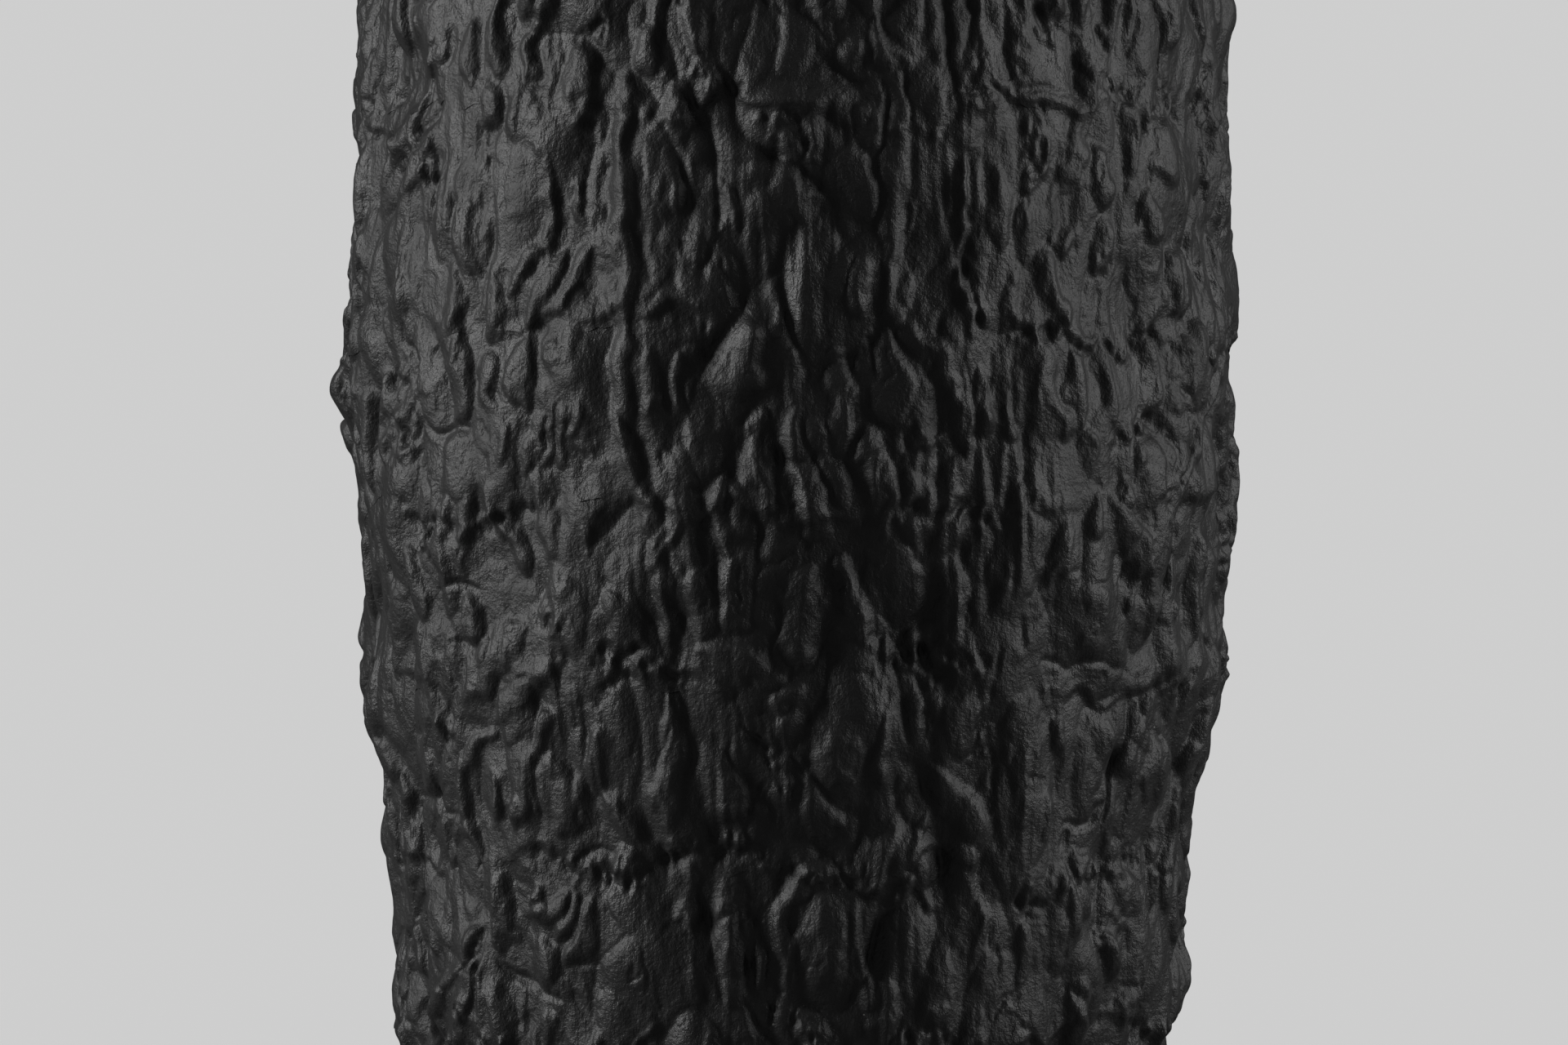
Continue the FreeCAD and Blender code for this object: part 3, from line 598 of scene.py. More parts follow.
def lap_at_seams(clay, seams):
    """The upper course laps over the lower one in places, and is ragged there in some of them."""
    for seam in seams:
        # The seam's line wanders up and down by a few millimetres
        line = seam + 3.2 * clay.hills(12, 30)[0] + 2.4 * clay.hills(4, 30)[0]
        above = clay.up[:, None] - line[None, :]
        lapped = np.clip(clay.hills(16, 30)[0] + 0.5, 0, 1.5)
        # A step over the line that dies away above and below it
        step = np.tanh(above / 1.3) * np.exp(-np.abs(above) / 7)
        clay.high += LAP * lapped * step
        torn = np.clip(clay.hills(12, 30)[0] + 0.1, 0, 1)
        clay.ragged = np.maximum(clay.ragged, np.exp(-((above / 4) ** 2)) * torn)


def crumble(clay):
    """Crumbs and little pits wherever the clay is ragged."""
    crumbs = 0.8 * clay.hills(1.1, 1.5) - 0.6 * np.abs(clay.hills(1.9, 2.8)) + 0.3 * clay.hills(0.7, 0.9)
    pits = -0.5 * np.clip(clay.hills(1.3, 1.9) - 1.0, 0, 1.6)
    clay.high += 0.8 * clay.ragged * (crumbs + pits)


def wrinkle(clay):
    """Wrinkles of three sizes over all of the clay, stronger in some places than in others."""
    for size, depth in WRINKLES:
        strength = np.clip(0.65 + 0.5 * clay.hills(3 * size, 4 * size), 0.1, 1.8)
        folded = clay.folds(size, 1.5 * size)
        clay.high += depth * clay.kept / KEPT_AT_FRONT * strength * (folded - folded.mean())


def swell(clay):
    """The wide swells and dips that give the wall its uneven outline from the front."""
    for degrees, lifts in SWELLS.items():
        off = (np.arange(COLUMNS) / COLUMNS * 360 - degrees + 180) % 360 - 180
        beside = np.exp(-((off * PER_DEGREE / SWELL_REACH[0]) ** 2))
        for height, lift in lifts:
            level = np.exp(-(((clay.up[:, None] - height) / SWELL_REACH[1]) ** 2))
            clay.high += lift * beside * level


def slumped(high, share):
    """The wet clay's surface once its steepest slopes have slumped, by a share for each column."""
    for _ in range(SLUMP_ROUNDS):
        rise_up, rise_round = np.gradient(high, STEP[1], STEP[0])
        steep = np.clip(np.hypot(rise_up, rise_round) - SLUMP_SLOPE, 0, 1)
        high = high + (blurred(high, 1.5, 1.7) - high) * np.clip(share * blurred(steep, 0.9, 0.9), 0, 1)
    return high


def worked_clay(seams):
    """The whole relief, with the seams between the courses at the given heights."""
    clay = Clay()
    clay.high = clay.settled(GROUND - 1.2 + 1.8 * clay.folds(5, 11))
    scatter_bodies(clay, BODY_COUNT)
    for *way, width, crest, steep in BODIES:
        if width > NARROW:
            clay.lay(way, width, crest, steep)
    scatter_hollows(clay, HOLLOW_COUNT)
    for *way, width, floor in HOLLOWS:
        clay.press(way, width, floor)
    for *way, width, crest, steep in BODIES:
        if width <= NARROW:
            clay.lay(way, width, crest, steep)
    scatter_creases(clay, CREASE_COUNT)
    for *way, width, depth in CREASES:
        clay.add(way, width * 1.3, -0.5 * depth, bow=1.2)
    for *way, width in RAGGED:
        clay.tear(way, width)
    for _ in range(TEAR_COUNT):
        way = clay.somewhere(lengths=(10, 36), lean=0.4, bow=2.0)
        if not at_front(way):
            clay.tear(way, clay.rng.uniform(6, 16))
    clay.high = slumped(clay.high, KEPT_AT_FRONT**3 / clay.kept**3)
    scatter_small_marks(clay, SMALL_MARK_COUNT)
    wrinkle(clay)
    nick(clay, NICK_COUNT)
    lap_at_seams(clay, seams)
    crumble(clay)
    # Each part of the relief is its depth times hills of a width and a height: drag marks where the
    # thumb has dragged the clay up, and then lumps, and the wall's slow unevenness
    drag = np.clip(clay.hills(9, 14) - 0.5, 0, 1)
    clay.high += 0.28 * drag * clay.hills(0.9, 7) + 0.07 * clay.hills(1.0, 1.4)
    lumps = 1.0 * clay.hills(8, 11) + 0.35 * clay.hills(4.5, 6.5)
    clay.high += 0.68 * lumps * (clay.kept / KEPT_AT_FRONT) ** 2 + 0.6 * clay.hills(22, 26) - SUNK
    swell(clay)
    furrow(clay, FURROW_COUNT)
    clay.high = blurred(clay.high, 0.28, 0.3)
    return clay


# ---- the frame's wall
def frame_points(node):
    """A node's points as distance from the axis and height, in millimetres."""
    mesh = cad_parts[node].data
    flat = np.zeros(len(mesh.vertices) * 3)
    mesh.vertices.foreach_get("co", flat)
    at = flat.reshape(-1, 3) / MM
    return np.hypot(at[:, 0], at[:, 1]), at[:, 2]


def outer_foot(node):
    """Where the outer face of a course starts: its lowest points, and the widest of them."""
    radius, height = frame_points(node)
    low = height.min()
    return radius[height < low + 0.01].max(), low


def inner_top(node):
    """Where the inner face of a course ends: its highest points."""
    radius, height = frame_points(node)
    top = height.max()
    return radius[height > top - 0.01].min(), top


# ---- meshes from rings
def ring(angles, radius, height):
    """Points round the axis; radius and height are numbers or one for each angle."""
    radius = np.broadcast_to(radius, angles.shape)
    height = np.broadcast_to(height, angles.shape)
    return np.stack([radius * np.sin(angles), -radius * np.cos(angles), height], axis=1) * MM


def turn(count):
    """So many even angles in one turn."""
    return np.arange(count) * (2 * math.pi / count)


def between_rings(first_a, count_a, first_b, count_b):
    """Triangles or quads that join two rings of points."""
    if count_a == count_b:
        i = np.arange(count_a)
        j = (i + 1) % count_a
        return np.stack([first_a + i, first_a + j, first_b + j, first_b + i], axis=1)
    faces = []
    i = j = 0
    while i < count_a or j < count_b:
        if j == count_b or (i < count_a and (i + 1) * count_b <= (j + 1) * count_a):
            if count_a > 1:
                faces.append((first_a + i % count_a, first_a + (i + 1) % count_a, first_b + j % count_b))
            i += 1
        else:
            if count_b > 1:
                faces.append((first_a + i % count_a, first_b + (j + 1) % count_b, first_b + j % count_b))
            j += 1
    return np.array(faces)


def turned_mesh(name, rings, flat=(), closed=True):
    """A closed mesh from rings of points in order round its section; flat lists the sharp bands."""
    starts = np.cumsum([0, *(len(r) for r in rings)])
    pairs = list(range(len(rings) if closed else len(rings) - 1))
    bands = []
    for k in pairs:
        after = (k + 1) % len(rings)
        bands.append(between_rings(starts[k], len(rings[k]), starts[after], len(rings[after])))
    corners = np.concatenate([band.ravel() for band in bands])
    sizes = np.concatenate([np.full(len(band), band.shape[1]) for band in bands])
    smooth = np.concatenate([np.full(len(band), k not in flat) for k, band in zip(pairs, bands)])
    mesh = bpy.data.meshes.new(name)
    points = np.concatenate(rings)
    mesh.vertices.add(len(points))
    mesh.vertices.foreach_set("co", points.ravel())
    mesh.loops.add(len(corners))
    mesh.loops.foreach_set("vertex_index", corners.astype(np.int32))
    mesh.polygons.add(len(sizes))
    mesh.polygons.foreach_set("loop_start", np.concatenate([[0], np.cumsum(sizes)[:-1]]).astype(np.int32))
    mesh.polygons.foreach_set("use_smooth", smooth)
    mesh.update(calc_edges=True)
    sharpen(mesh, rings, flat)
    return mesh


def sharpen(mesh, rings, flat):
    """Makes the edges along both borders of each flat band sharp."""
    ring_of = np.repeat(np.arange(len(rings)), [len(r) for r in rings])
    ends = np.zeros(len(mesh.edges) * 2, dtype=int)
    mesh.edges.foreach_get("vertices", ends)
    first, second = ring_of[ends[::2]], ring_of[ends[1::2]]
    borders = [k % len(rings) for band in flat for k in (band, band + 1)]
    sharp = mesh.attributes.new("sharp_edge", "BOOLEAN", "EDGE")
    sharp.data.foreach_set("value", (first == second) & np.isin(first, borders))


def piece(name, mesh, material, node):
    """A visual piece that stands for a node of the frame."""
    mesh.materials.append(material)
    made = bpy.data.objects.new(name, mesh)
    bpy.context.scene.collection.objects.link(made)
    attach(made, "root")
    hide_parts(node)
    return made


# ---- the courses of the wall
def at_height(clay, heights):
    """The relief at one height for each column."""
    rows = np.clip(heights / ROW_STEP, 0, clay.shape[0] - 1.001)
    low = np.floor(rows).astype(int)
    part = rows - low
    columns = np.arange(COLUMNS)
    return clay.high[low, columns] * (1 - part) + clay.high[low + 1, columns] * part


class Seam:
    """One joint between two courses: how its line rises and falls, and how the upper one laps over."""

    def __init__(self, clay=None):
        self.wave = np.zeros(COLUMNS)
        self.lip = np.zeros(COLUMNS)
        self.tuck = np.zeros(COLUMNS)
        if clay:
            middle = clay.shape[0] // 2
            self.wave = 1.6 * clay.hills(16, 4)[middle] + 0.9 * clay.hills(4, 4)[middle]
            self.wave = self.wave + 0.4 * clay.hills(1.3, 4)[middle]
            self.lip = 0.3 * np.clip(clay.hills(6, 4)[middle] - 0.6, 0, 2)
            self.tuck = 0.15 * np.clip(clay.hills(5, 4)[middle] - 0.8, 0, 2)


def outer_profile(points):
    """The smooth outer radius of the whole wall for every row of the relief."""
    heights = np.arange(int(FIELD_HEIGHT / ROW_STEP) + 1) * ROW_STEP
    straight = np.interp(heights, [height for _, height in points], [radius for radius, _ in points])
    reach = np.arange(-3 * PROFILE_EASE, 3 * PROFILE_EASE + ROW_STEP, ROW_STEP)
    weights = np.exp(-0.5 * (reach / PROFILE_EASE) ** 2)
    padded = np.pad(straight, len(reach) // 2, mode="reflect", reflect_type="odd")
    return np.convolve(padded, weights / weights.sum(), mode="valid")[: len(heights)] + PROFILE_BULGE


def wall_row(clay, profile, height):
    """The outer radius of the clay round the vase along a line of heights."""
    return np.interp(height, clay.up, profile) + at_height(clay, height)


def course_mesh(clay, name, profile, outer, inner, seams):
    """outer and inner are the section's lower and upper ends, seams the joints below and above."""
    (_, low), (_, top) = outer
    below, above = seams
    rows = min(round((top - low) / ROW_HEIGHT), MOST_ROWS)
    rings = []
    for t in np.linspace(0, 1, rows + 1):
        height = low + (top - low) * t + below.wave * (1 - t) + above.wave * t
        lap = below.lip * math.exp(-(((top - low) * t / LIP_REACH) ** 2))
        tuck = above.tuck * math.exp(-(((top - low) * (1 - t) / TUCK_REACH) ** 2))
        rings.append(ring(turn(COLUMNS), wall_row(clay, profile, height) + lap - tuck, height))
    (inner_low, floor), (inner_high, ceiling) = inner
    for t in np.linspace(1, 0, INSIDE_ROWS):
        wall = inner_low + (inner_high - inner_low) * t
        rings.append(ring(turn(INNER_COLUMNS), wall, floor + (ceiling - floor) * t))
    return turned_mesh(name, rings, flat=(rows, len(rings) - 1))


# ---- the rim, the slab, the foot and the glaze
def rim_mesh(clay, name, profile, outer_low, inner_low, below):
    """The last band of the wall, over its half-round lip and down its inner face."""
    radius, height = frame_points(name)
    top = height.max()
    lip_radius, lip_height = radius[height > top - 0.01].mean(), top - LIP_ROUND
    rise = THUMBED_LIP * clay.hills(20, 8)[-1] + 0.4 * clay.hills(6, 8)[-1]
    rings = []
    for t in np.linspace(0, 1, RIM_ROWS + 1):
        height = outer_low[1] + (lip_height - outer_low[1]) * t + below.wave * (1 - t)
        lap = below.lip * math.exp(-(((lip_height - outer_low[1]) * t / LIP_REACH) ** 2))
        rings.append(ring(turn(COLUMNS), wall_row(clay, profile, height) + lap, height + rise * t * t))
    for bend in np.linspace(0, math.pi, LIP_ROWS + 1)[1:]:
        fade = 0.15 + 0.85 * ((1 + math.cos(bend)) / 2) ** 1.5
        out = LIP_ROUND + fade * at_height(clay, np.full(COLUMNS, lip_height + LIP_ROUND * bend))
        level = lip_height + out * math.sin(bend) + rise
        rings.append(ring(turn(COLUMNS), lip_radius + out * math.cos(bend), level))
    inner_high = lip_radius - LIP_ROUND, lip_height
    for t in np.linspace(0, 1, INSIDE_ROWS + 1)[1:]:
        wall = inner_high[0] + (inner_low[0] - inner_high[0]) * t
        rings.append(ring(turn(INNER_COLUMNS), wall, inner_high[1] + (inner_low[1] - inner_high[1]) * t))
    return turned_mesh(name, rings, flat=(len(rings) - 1,))


def slab_mesh(clay, name, profile, bottom, top):
    """The base slab: its underside from the middle out, its worked edge, and its hidden top."""
    (radius_low, low), (_, high) = bottom, top
    rough = clay.hills(5, 5)
    rings = [ring(np.zeros(1), 0.0, low)]
    for radius in np.linspace(6, radius_low - 7, 22):
        angles = turn(INNER_COLUMNS)
        dent = SLAB_MARKS * min(1, radius / 30) * rough[int(radius / ROW_STEP), :: COLUMNS // INNER_COLUMNS]
        rings.append(ring(angles, radius, low + np.clip(dent + 0.2, 0, 2) * (radius < SLAB_HIDDEN)))
    for t in np.linspace(0, 1, 19):
        height = np.full(COLUMNS, low + (high - low) * t)
        rings.append(ring(turn(COLUMNS), wall_row(clay, profile, height), height))
    rings.append(ring(np.zeros(1), 0.0, high))
    return turned_mesh(name, rings, flat=(len(rings) - 2,), closed=False)


def foot_mesh(clay, name):
    """The coil under the slab: a flat resting face, rounded edges and thumbed sides."""
    radius, height = frame_points(name)
    inner, outer, high = radius.min(), radius.max(), height.max()
    angles = turn(FOOT_COLUMNS)
    rings = []
    for side, edge, first in ((1, outer, 0.0), (-1, inner, FOOT_INSIDE_MARKS)):
        levels = [FOOT_ROUND * (1 - math.cos(bend)) for bend in np.linspace(0, math.pi / 2, 6)]
        levels += list(np.linspace(FOOT_ROUND, high, 11)[1:])
        rows = []
        for level in levels:
            tuck = FOOT_ROUND - math.sqrt(max(FOOT_ROUND**2 - max(FOOT_ROUND - level, 0) ** 2, 0))
            marks = at_height(clay, np.full(COLUMNS, first + level))[:: COLUMNS // FOOT_COLUMNS]
            bulge = FOOT_BULGE * math.sin(math.pi * level / high)
            out = FOOT_MARKS * (marks - GROUND) * math.sin(math.pi * (0.15 + 0.7 * level / high)) + bulge
            rows.append(ring(angles, edge + side * (out - tuck), level))
        rings += rows if side == 1 else rows[::-1]
    half = len(rings) // 2
    return turned_mesh(name, rings, flat=(half - 1, len(rings) - 1))


def lining_wall(inner_seams, lip_foot):
    """The inner wall's corners from the floor coil to the stop of the glaze."""
    corner, first = inner_seams[0], inner_seams[1]
    share = FLOOR_COIL / (first[1] - corner[1])
    on_wall = (corner[0] + (first[0] - corner[0]) * share, corner[1] + FLOOR_COIL)
    last = inner_seams[-1]
    share = (lip_foot[1] + LIP_ROUND - GLAZE_STOP - last[1]) / (lip_foot[1] - last[1])
    stop = (last[0] + (lip_foot[0] - last[0]) * share, last[1] + (lip_foot[1] - last[1]) * share)
    return [on_wall, *inner_seams[1:], stop]


def sagging(start, end, share, sag):
    """A point of a curve that hangs between two points, on the side of the wall's corner."""
    across, rise = end[0] - start[0], end[1] - start[1]
    dip = 4 * sag * share * (1 - share) / math.hypot(across, rise)
    return start[0] + across * share - rise * dip, start[1] + rise * share + across * dip


def lining_wall_rings(clay, wall, ripple):
    """The glaze's front on the wall, from its uneven upper edge down, rippled by fingers."""
    angles, top = turn(GLAZE_COLUMNS), wall[-1][1]
    every = COLUMNS // GLAZE_COLUMNS
    swing = 2.5 * clay.hills(40, 8)[-1, ::every]
    edge = 1.3 * clay.hills(9, 8)[-1, ::every] + 0.5 * clay.hills(3, 8)[-1, ::every]
    heights = np.linspace(top, wall[0][1], GLAZE_ROWS + 1)
    radii = np.interp(heights, [at[1] for at in wall], [at[0] for at in wall])
    rings = [ring(angles, radii[0] - 0.1, top + 0.3 + edge)]
    for height, radius in zip(heights, radii):
        near_top = math.exp(-(top - height) / 6)
        fingers = FINGER_DEPTH * np.sin((height + swing) * 2 * math.pi / FINGER_RISE)
        waves = fingers + ripple[int(height / ROW_STEP)]
        front = GLAZE + (GLAZE_MORE - waves) * (1 - near_top)
        rings.append(ring(angles, radius - np.clip(front, 0.3, 2.5), height + edge * near_top))
    return rings


def lining_floor_rings(wall, edge_of_floor, ripple):
    """The glaze's front over the floor coil, where it hangs, and on the floor, where it pools."""
    angles = turn(GLAZE_COLUMNS)
    radius_of_floor, level = edge_of_floor[0], edge_of_floor[1] + GLAZE
    hollow_top = (wall[0][0] - GLAZE - GLAZE_MORE, wall[0][1])
    rings = []
    for share in np.linspace(0, 1, 9)[1:]:
        radius, height = sagging(hollow_top, (radius_of_floor, level), share, HOLLOW_SAG)
        rings.append(ring(angles, radius, height))
    for radius in np.linspace(radius_of_floor, 6, 20)[1:]:
        dent = 0.8 * ripple[int(radius / ROW_STEP)] * min(1, radius / 40)
        pool = POOL * (1 - (radius / radius_of_floor) ** 2)
        rings.append(ring(angles, radius, level + pool + dent))
    return [*rings, ring(np.zeros(1), 0.0, level + POOL)]


def lining_mesh(clay, name, inner_seams, lip_foot):
    """The glaze: a thin shell with the inner wall and the floor for its back."""
    wall = lining_wall(inner_seams, lip_foot)
    corner = inner_seams[0]
    edge_of_floor = (corner[0] - FLOOR_COIL, corner[1])
    every = COLUMNS // GLAZE_COLUMNS
    ripple = 0.22 * clay.hills(12, 4)[:, ::every] + 0.10 * clay.hills(4, 3)[:, ::every]
    rings = [ring(np.zeros(1), 0.0, corner[1])]
    rings += [ring(turn(BACK_COLUMNS), radius, height) for radius, height in [edge_of_floor, *wall]]
    rings += lining_wall_rings(clay, wall, ripple)
    rings += lining_floor_rings(wall, edge_of_floor, ripple)
    return turned_mesh(name, rings, closed=False)


# ---- materials
def new_material(name):
    """A new material with its nodes and links."""
    material = bpy.data.materials.new(name)
    material.use_nodes = True
    return material, material.node_tree.nodes, material.node_tree.links


def noise_in(nodes, links, place, scale, detail, squeeze=1.0):
    """A noise in the clay's own space; a squeeze below 1 draws it out up and down."""
    aim = nodes.new("ShaderNodeMapping")
    aim.inputs["Scale"].default_value = (1, 1, squeeze)
    links.new(place.outputs["Object"], aim.inputs["Vector"])
    noise = nodes.new("ShaderNodeTexNoise")
    noise.inputs["Scale"].default_value = scale
    noise.inputs["Detail"].default_value = detail
    links.new(aim.outputs["Vector"], noise.inputs["Vector"])
    return noise.outputs["Fac"]


def ramp(nodes, links, value, low, high):
    """value turned into a colour: low and high are each a position and a grey."""
    made = nodes.new("ShaderNodeValToRGB")
    for stop, (position, grey) in zip(made.color_ramp.elements, (low, high)):
        stop.position = position
        stop.color = (grey, grey, grey, 1)
    links.new(value, made.inputs["Fac"])
    return made.outputs["Color"]


def total(nodes, links, parts):
    """The sum of some values, each with its share."""
    last = None
    for value, share in parts:
        step = nodes.new("ShaderNodeMath")
        step.operation = "MULTIPLY_ADD"
        links.new(value, step.inputs[0])
        step.inputs[1].default_value = share
        step.inputs[2].default_value = 0
        if last is not None:
            links.new(last, step.inputs[2])
        last = step.outputs["Value"]
    return last


def roughen(nodes, links, height, distance, strength):
    """Small relief on the shader's surface, distance millimetres deep."""
    bump = nodes.new("ShaderNodeBump")
    bump.inputs["Strength"].default_value = strength
    bump.inputs["Distance"].default_value = distance * MM
    links.new(height, bump.inputs["Height"])
    links.new(bump.outputs["Normal"], nodes["Principled BSDF"].inputs["Normal"])


def pale_specks(nodes, links, place, colour):
    """Tiny pale grains scattered in the clay."""
    cells = nodes.new("ShaderNodeTexVoronoi")
    cells.inputs["Scale"].default_value = 75
    links.new(place.outputs["Object"], cells.inputs["Vector"])
    grain = ramp(nodes, links, cells.outputs["Distance"], (0.014, 1), (0.021, 0))
    mix = nodes.new("ShaderNodeMix")
    mix.data_type = "RGBA"
    links.new(grain, mix.inputs[0])
    links.new(colour, mix.inputs[6])
    mix.inputs[7].default_value = SPECK_TONE
    return mix.outputs[2]


def stoneware_material():
    """Dark fired clay: cloudy in tone, worn smoother in places, grainy, with pale specks."""
    material, nodes, links = new_material("stoneware")
    shader = nodes["Principled BSDF"]
    place = nodes.new("ShaderNodeTexCoord")
    cloud = noise_in(nodes, links, place, scale=28, detail=5, squeeze=0.6)
    darkest, lightest = STONEWARE_TONES
    tone = ramp(nodes, links, cloud, low=(0.32, darkest), high=(0.7, lightest))
    links.new(pale_specks(nodes, links, place, tone), shader.inputs["Base Color"])
    worn = noise_in(nodes, links, place, scale=90, detail=4, squeeze=0.5)
    links.new(ramp(nodes, links, worn, low=(0.3, 0.38), high=(0.72, 0.55)), shader.inputs["Roughness"])
    grain = noise_in(nodes, links, place, scale=2200, detail=2)
    peel = noise_in(nodes, links, place, scale=800, detail=3)
    drag = noise_in(nodes, links, place, scale=1100, detail=2, squeeze=0.12)
    crinkle = noise_in(nodes, links, place, scale=330, detail=4, squeeze=0.7)
    height = total(nodes, links, [(grain, 0.5), (peel, 1.4), (drag, 0.4), (crinkle, 0.9)])
    roughen(nodes, links, height, distance=0.28, strength=0.9)
    return material


def glaze_material():
    """Black glaze, glossy but dulled in places."""
    material, nodes, links = new_material("liner_glaze")
    shader = nodes["Principled BSDF"]
    place = nodes.new("ShaderNodeTexCoord")
    cloud = noise_in(nodes, links, place, scale=22, detail=4)
    links.new(ramp(nodes, links, cloud, low=(0.3, 0.015), high=(0.75, 0.04)), shader.inputs["Base Color"])
    dulled = noise_in(nodes, links, place, scale=60, detail=5)
    links.new(ramp(nodes, links, dulled, low=(0.35, 0.08), high=(0.75, 0.22)), shader.inputs["Roughness"])
    shader.inputs["Coat Weight"].default_value = 0.5
    shader.inputs["Coat Roughness"].default_value = 0.06
    waves = noise_in(nodes, links, place, scale=140, detail=3)
    roughen(nodes, links, waves, distance=0.35, strength=0.5)
    return material


# ---- pieces
stoneware = stoneware_material()
glaze = glaze_material()
for node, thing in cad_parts.items():
    thing.data.materials.clear()
    thing.data.materials.append(glaze if node == "glaze_lining" else stoneware)

outer_seams = [outer_foot(name) for name in [*COURSES, "rim_course"]]
slab_top = outer_seams[0][1]
inner_seams = [(frame_points(COURSES[0])[0].min(), slab_top), *(inner_top(name) for name in COURSES)]
rim_radius, rim_height = frame_points("rim_course")
lip_radius = rim_radius[rim_height > rim_height.max() - 0.01].mean()
lip_foot = (lip_radius - LIP_ROUND, rim_height.max() - LIP_ROUND)
slab_low = outer_foot("base_slab")
lip_out = (lip_radius + LIP_ROUND, lip_foot[1])
profile = outer_profile([slab_low, *outer_seams, lip_out])
clay = worked_clay([height for _, height in outer_seams[1:]])
seams = [Seam(), *(Seam(clay) for _ in COURSES)]
for k, name in enumerate(COURSES):
    joints = slice(k, k + 2)
    mesh = course_mesh(clay, name, profile, outer_seams[joints], inner_seams[joints], seams[joints])
    piece(name + "_clay", mesh, stoneware, name)

rim = rim_mesh(clay, "rim_course", profile, outer_seams[-1], inner_seams[-1], seams[-1])
piece("rim_course_clay", rim, stoneware, "rim_course")
slab = slab_mesh(clay, "base_slab", profile, slab_low, outer_seams[0])
piece("base_slab_clay", slab, stoneware, "base_slab")
piece("foot_ring_clay", foot_mesh(clay, "foot_ring"), stoneware, "foot_ring")
lining = lining_mesh(clay, "glaze_lining", inner_seams, lip_foot)
piece("glaze_lining_coat", lining, glaze, "glaze_lining")


# ---- floor, light and camera
# Lengths here are in metres
FLOOR_RADIUS = 4
FLOOR_DROP = 0.0002  # it lies this far below the foot, so that the two faces don't meet
FLOOR_GREY = 0.18
FLOOR_GLOW_AND_PAINTED_SHADOW = (0.16, 0.57)  # what the camera sees it add: a painted shadow in the corner under the vase, and an even glow in the open
# how far out from the vase the painted shadow on the floor reaches
PAINTED_SHADOW_REACH = 0.16
FLOOR_FADES = (0.7, 2.4)  # how far from the vase it starts to fade, and is gone
BACKDROP_GREY = 0.62
SKY_GREY = 0.6
SKY_STRENGTH = 0.1
AIM = (0, 0, 0.3)  # what the lights point at
# Each light's place, its width and height, and its watts
SOFTBOXES = {
    "left_softbox": ((-2.4, -0.37, 1.05), (0.9, 1.6), 44),
    "right_softbox": ((2.4, -0.15, 1.0), (1.5, 1.8), 28),
}
VIEW_HEIGHT = 0.2723  # the camera looks level at this height
VIEW_WIDTH = 0.4869  # what the picture is wide at the vase's axis
VIEW_ASIDE = -0.0023
CAMERA_DISTANCE = 2.5
SENSOR = 36  # the width of the camera's sensor, in millimetres


def floor_material():
    """Pale and matt; a painted shadow darkens it softly under the vase, and it fades into the backdrop far
    from it.
    """
    material, nodes, links = new_material("floor")
    shader = nodes["Principled BSDF"]
    shader.inputs["Base Color"].default_value = (FLOOR_GREY, FLOOR_GREY, FLOOR_GREY, 1)
    shader.inputs["Roughness"].default_value = 0.9
    shader.inputs["Specular IOR Level"].default_value = 0.1
    shader.inputs["Emission Color"].default_value = (1, 1, 1, 1)
    # The glow that the camera sees is dimmed by ambient occlusion near the vase: a painted contact shadow
    near = nodes.new("ShaderNodeAmbientOcclusion")
    near.inputs["Distance"].default_value = PAINTED_SHADOW_REACH
    near.samples = 16
    path = nodes.new("ShaderNodeLightPath")
    floor_glow_painted_shadow = nodes.new("ShaderNodeMath")
    floor_glow_painted_shadow.operation = "MULTIPLY"
    painted_shadow = ramp(nodes, links, near.outputs["AO"], (0.0, FLOOR_GLOW_AND_PAINTED_SHADOW[0]), (1.0, FLOOR_GLOW_AND_PAINTED_SHADOW[1]))
    links.new(painted_shadow, floor_glow_painted_shadow.inputs[0])
    links.new(path.outputs["Is Camera Ray"], floor_glow_painted_shadow.inputs[1])
    links.new(floor_glow_painted_shadow.outputs["Value"], shader.inputs["Emission Strength"])
    place = nodes.new("ShaderNodeTexCoord")
    far = nodes.new("ShaderNodeVectorMath")
    far.operation = "LENGTH"
    links.new(place.outputs["Object"], far.inputs[0])
    fading = nodes.new("ShaderNodeMapRange")
    fading.interpolation_type = "SMOOTHSTEP"
    fading.inputs["From Min"].default_value = FLOOR_FADES[0]
    fading.inputs["From Max"].default_value = FLOOR_FADES[1]
    links.new(far.outputs["Value"], fading.inputs["Value"])
    mix = nodes.new("ShaderNodeMixShader")
    links.new(fading.outputs["Result"], mix.inputs["Fac"])
    links.new(shader.outputs["BSDF"], mix.inputs[1])
    links.new(nodes.new("ShaderNodeBsdfTransparent").outputs["BSDF"], mix.inputs[2])
    links.new(mix.outputs["Shader"], nodes["Material Output"].inputs["Surface"])
    return material


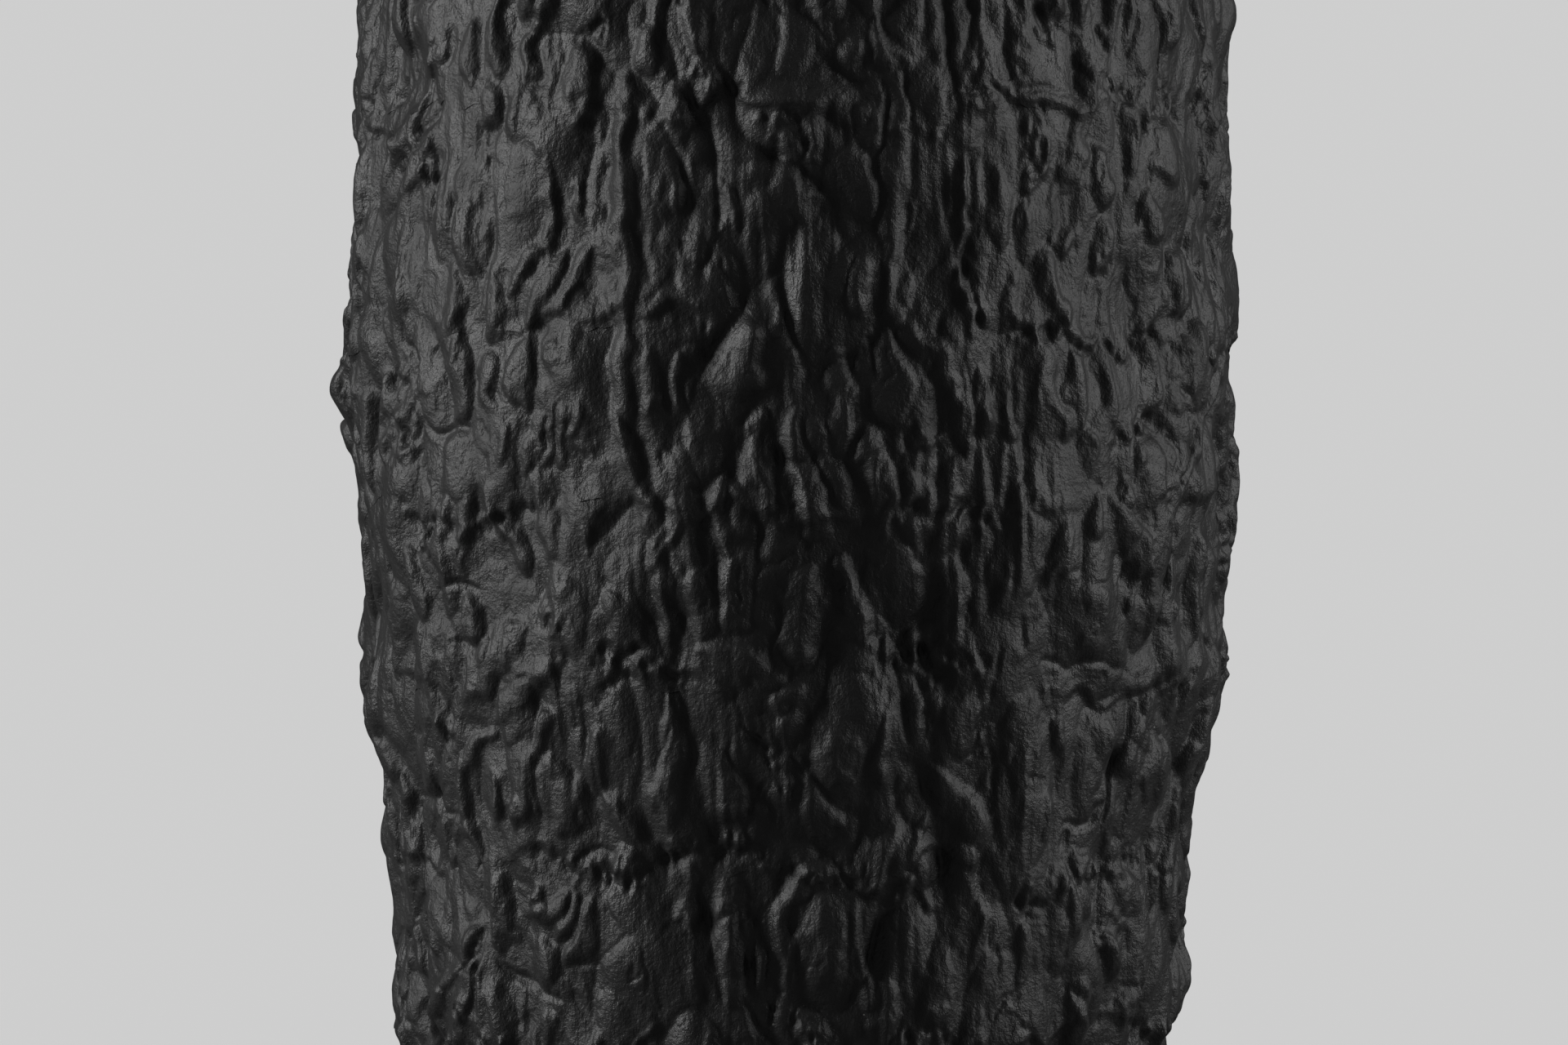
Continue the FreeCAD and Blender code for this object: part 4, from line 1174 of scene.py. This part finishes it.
def floor():
    """A wide round floor."""
    middle = (0, 0, -FLOOR_DROP)
    bpy.ops.mesh.primitive_circle_add(vertices=128, radius=FLOOR_RADIUS, fill_type="NGON", location=middle)
    made = bpy.context.object
    made.name = "floor"
    made.data.materials.append(floor_material())


def area_light(name, place, size, power):
    """A softbox that the camera doesn't see."""
    light = bpy.data.lights.new(name, "AREA")
    light.shape = "RECTANGLE"
    light.size, light.size_y = size
    light.energy = power
    made = bpy.data.objects.new(name, light)
    made.location = place
    away = made.location - Vector(AIM)
    made.rotation_euler = away.to_track_quat("Z", "Y").to_euler()
    made.visible_camera = False
    bpy.context.scene.collection.objects.link(made)


def studio():
    """The backdrop that the camera sees, a faint light from all round, and a softbox on each side."""
    world = bpy.data.worlds.new("studio")
    bpy.context.scene.world = world
    world.use_nodes = True
    nodes, links = world.node_tree.nodes, world.node_tree.links
    shown = nodes["Background"]
    shown.inputs["Color"].default_value = (BACKDROP_GREY, BACKDROP_GREY, BACKDROP_GREY, 1)
    lighting = nodes.new("ShaderNodeBackground")
    lighting.inputs["Color"].default_value = (SKY_GREY, SKY_GREY, SKY_GREY, 1)
    lighting.inputs["Strength"].default_value = SKY_STRENGTH
    path = nodes.new("ShaderNodeLightPath")
    mix = nodes.new("ShaderNodeMixShader")
    links.new(path.outputs["Is Camera Ray"], mix.inputs["Fac"])
    links.new(lighting.outputs["Background"], mix.inputs[1])
    links.new(shown.outputs["Background"], mix.inputs[2])
    links.new(mix.outputs["Shader"], nodes["World Output"].inputs["Surface"])
    bpy.context.scene.view_settings.view_transform = "Standard"
    for name, (place, size, power) in SOFTBOXES.items():
        area_light(name, place, size, power)


def camera():
    """A level camera at the front, whose picture is VIEW_WIDTH wide at the vase."""
    data = bpy.data.cameras.new("camera")
    data.sensor_width = SENSOR
    data.lens = SENSOR * CAMERA_DISTANCE / VIEW_WIDTH
    data.clip_start = 0.05
    data.clip_end = 50
    made = bpy.data.objects.new("camera", data)
    made.location = (VIEW_ASIDE, -CAMERA_DISTANCE, VIEW_HEIGHT)
    made.rotation_euler = (math.pi / 2, 0, 0)
    bpy.context.scene.collection.objects.link(made)
    bpy.context.scene.camera = made


floor()
studio()
camera()
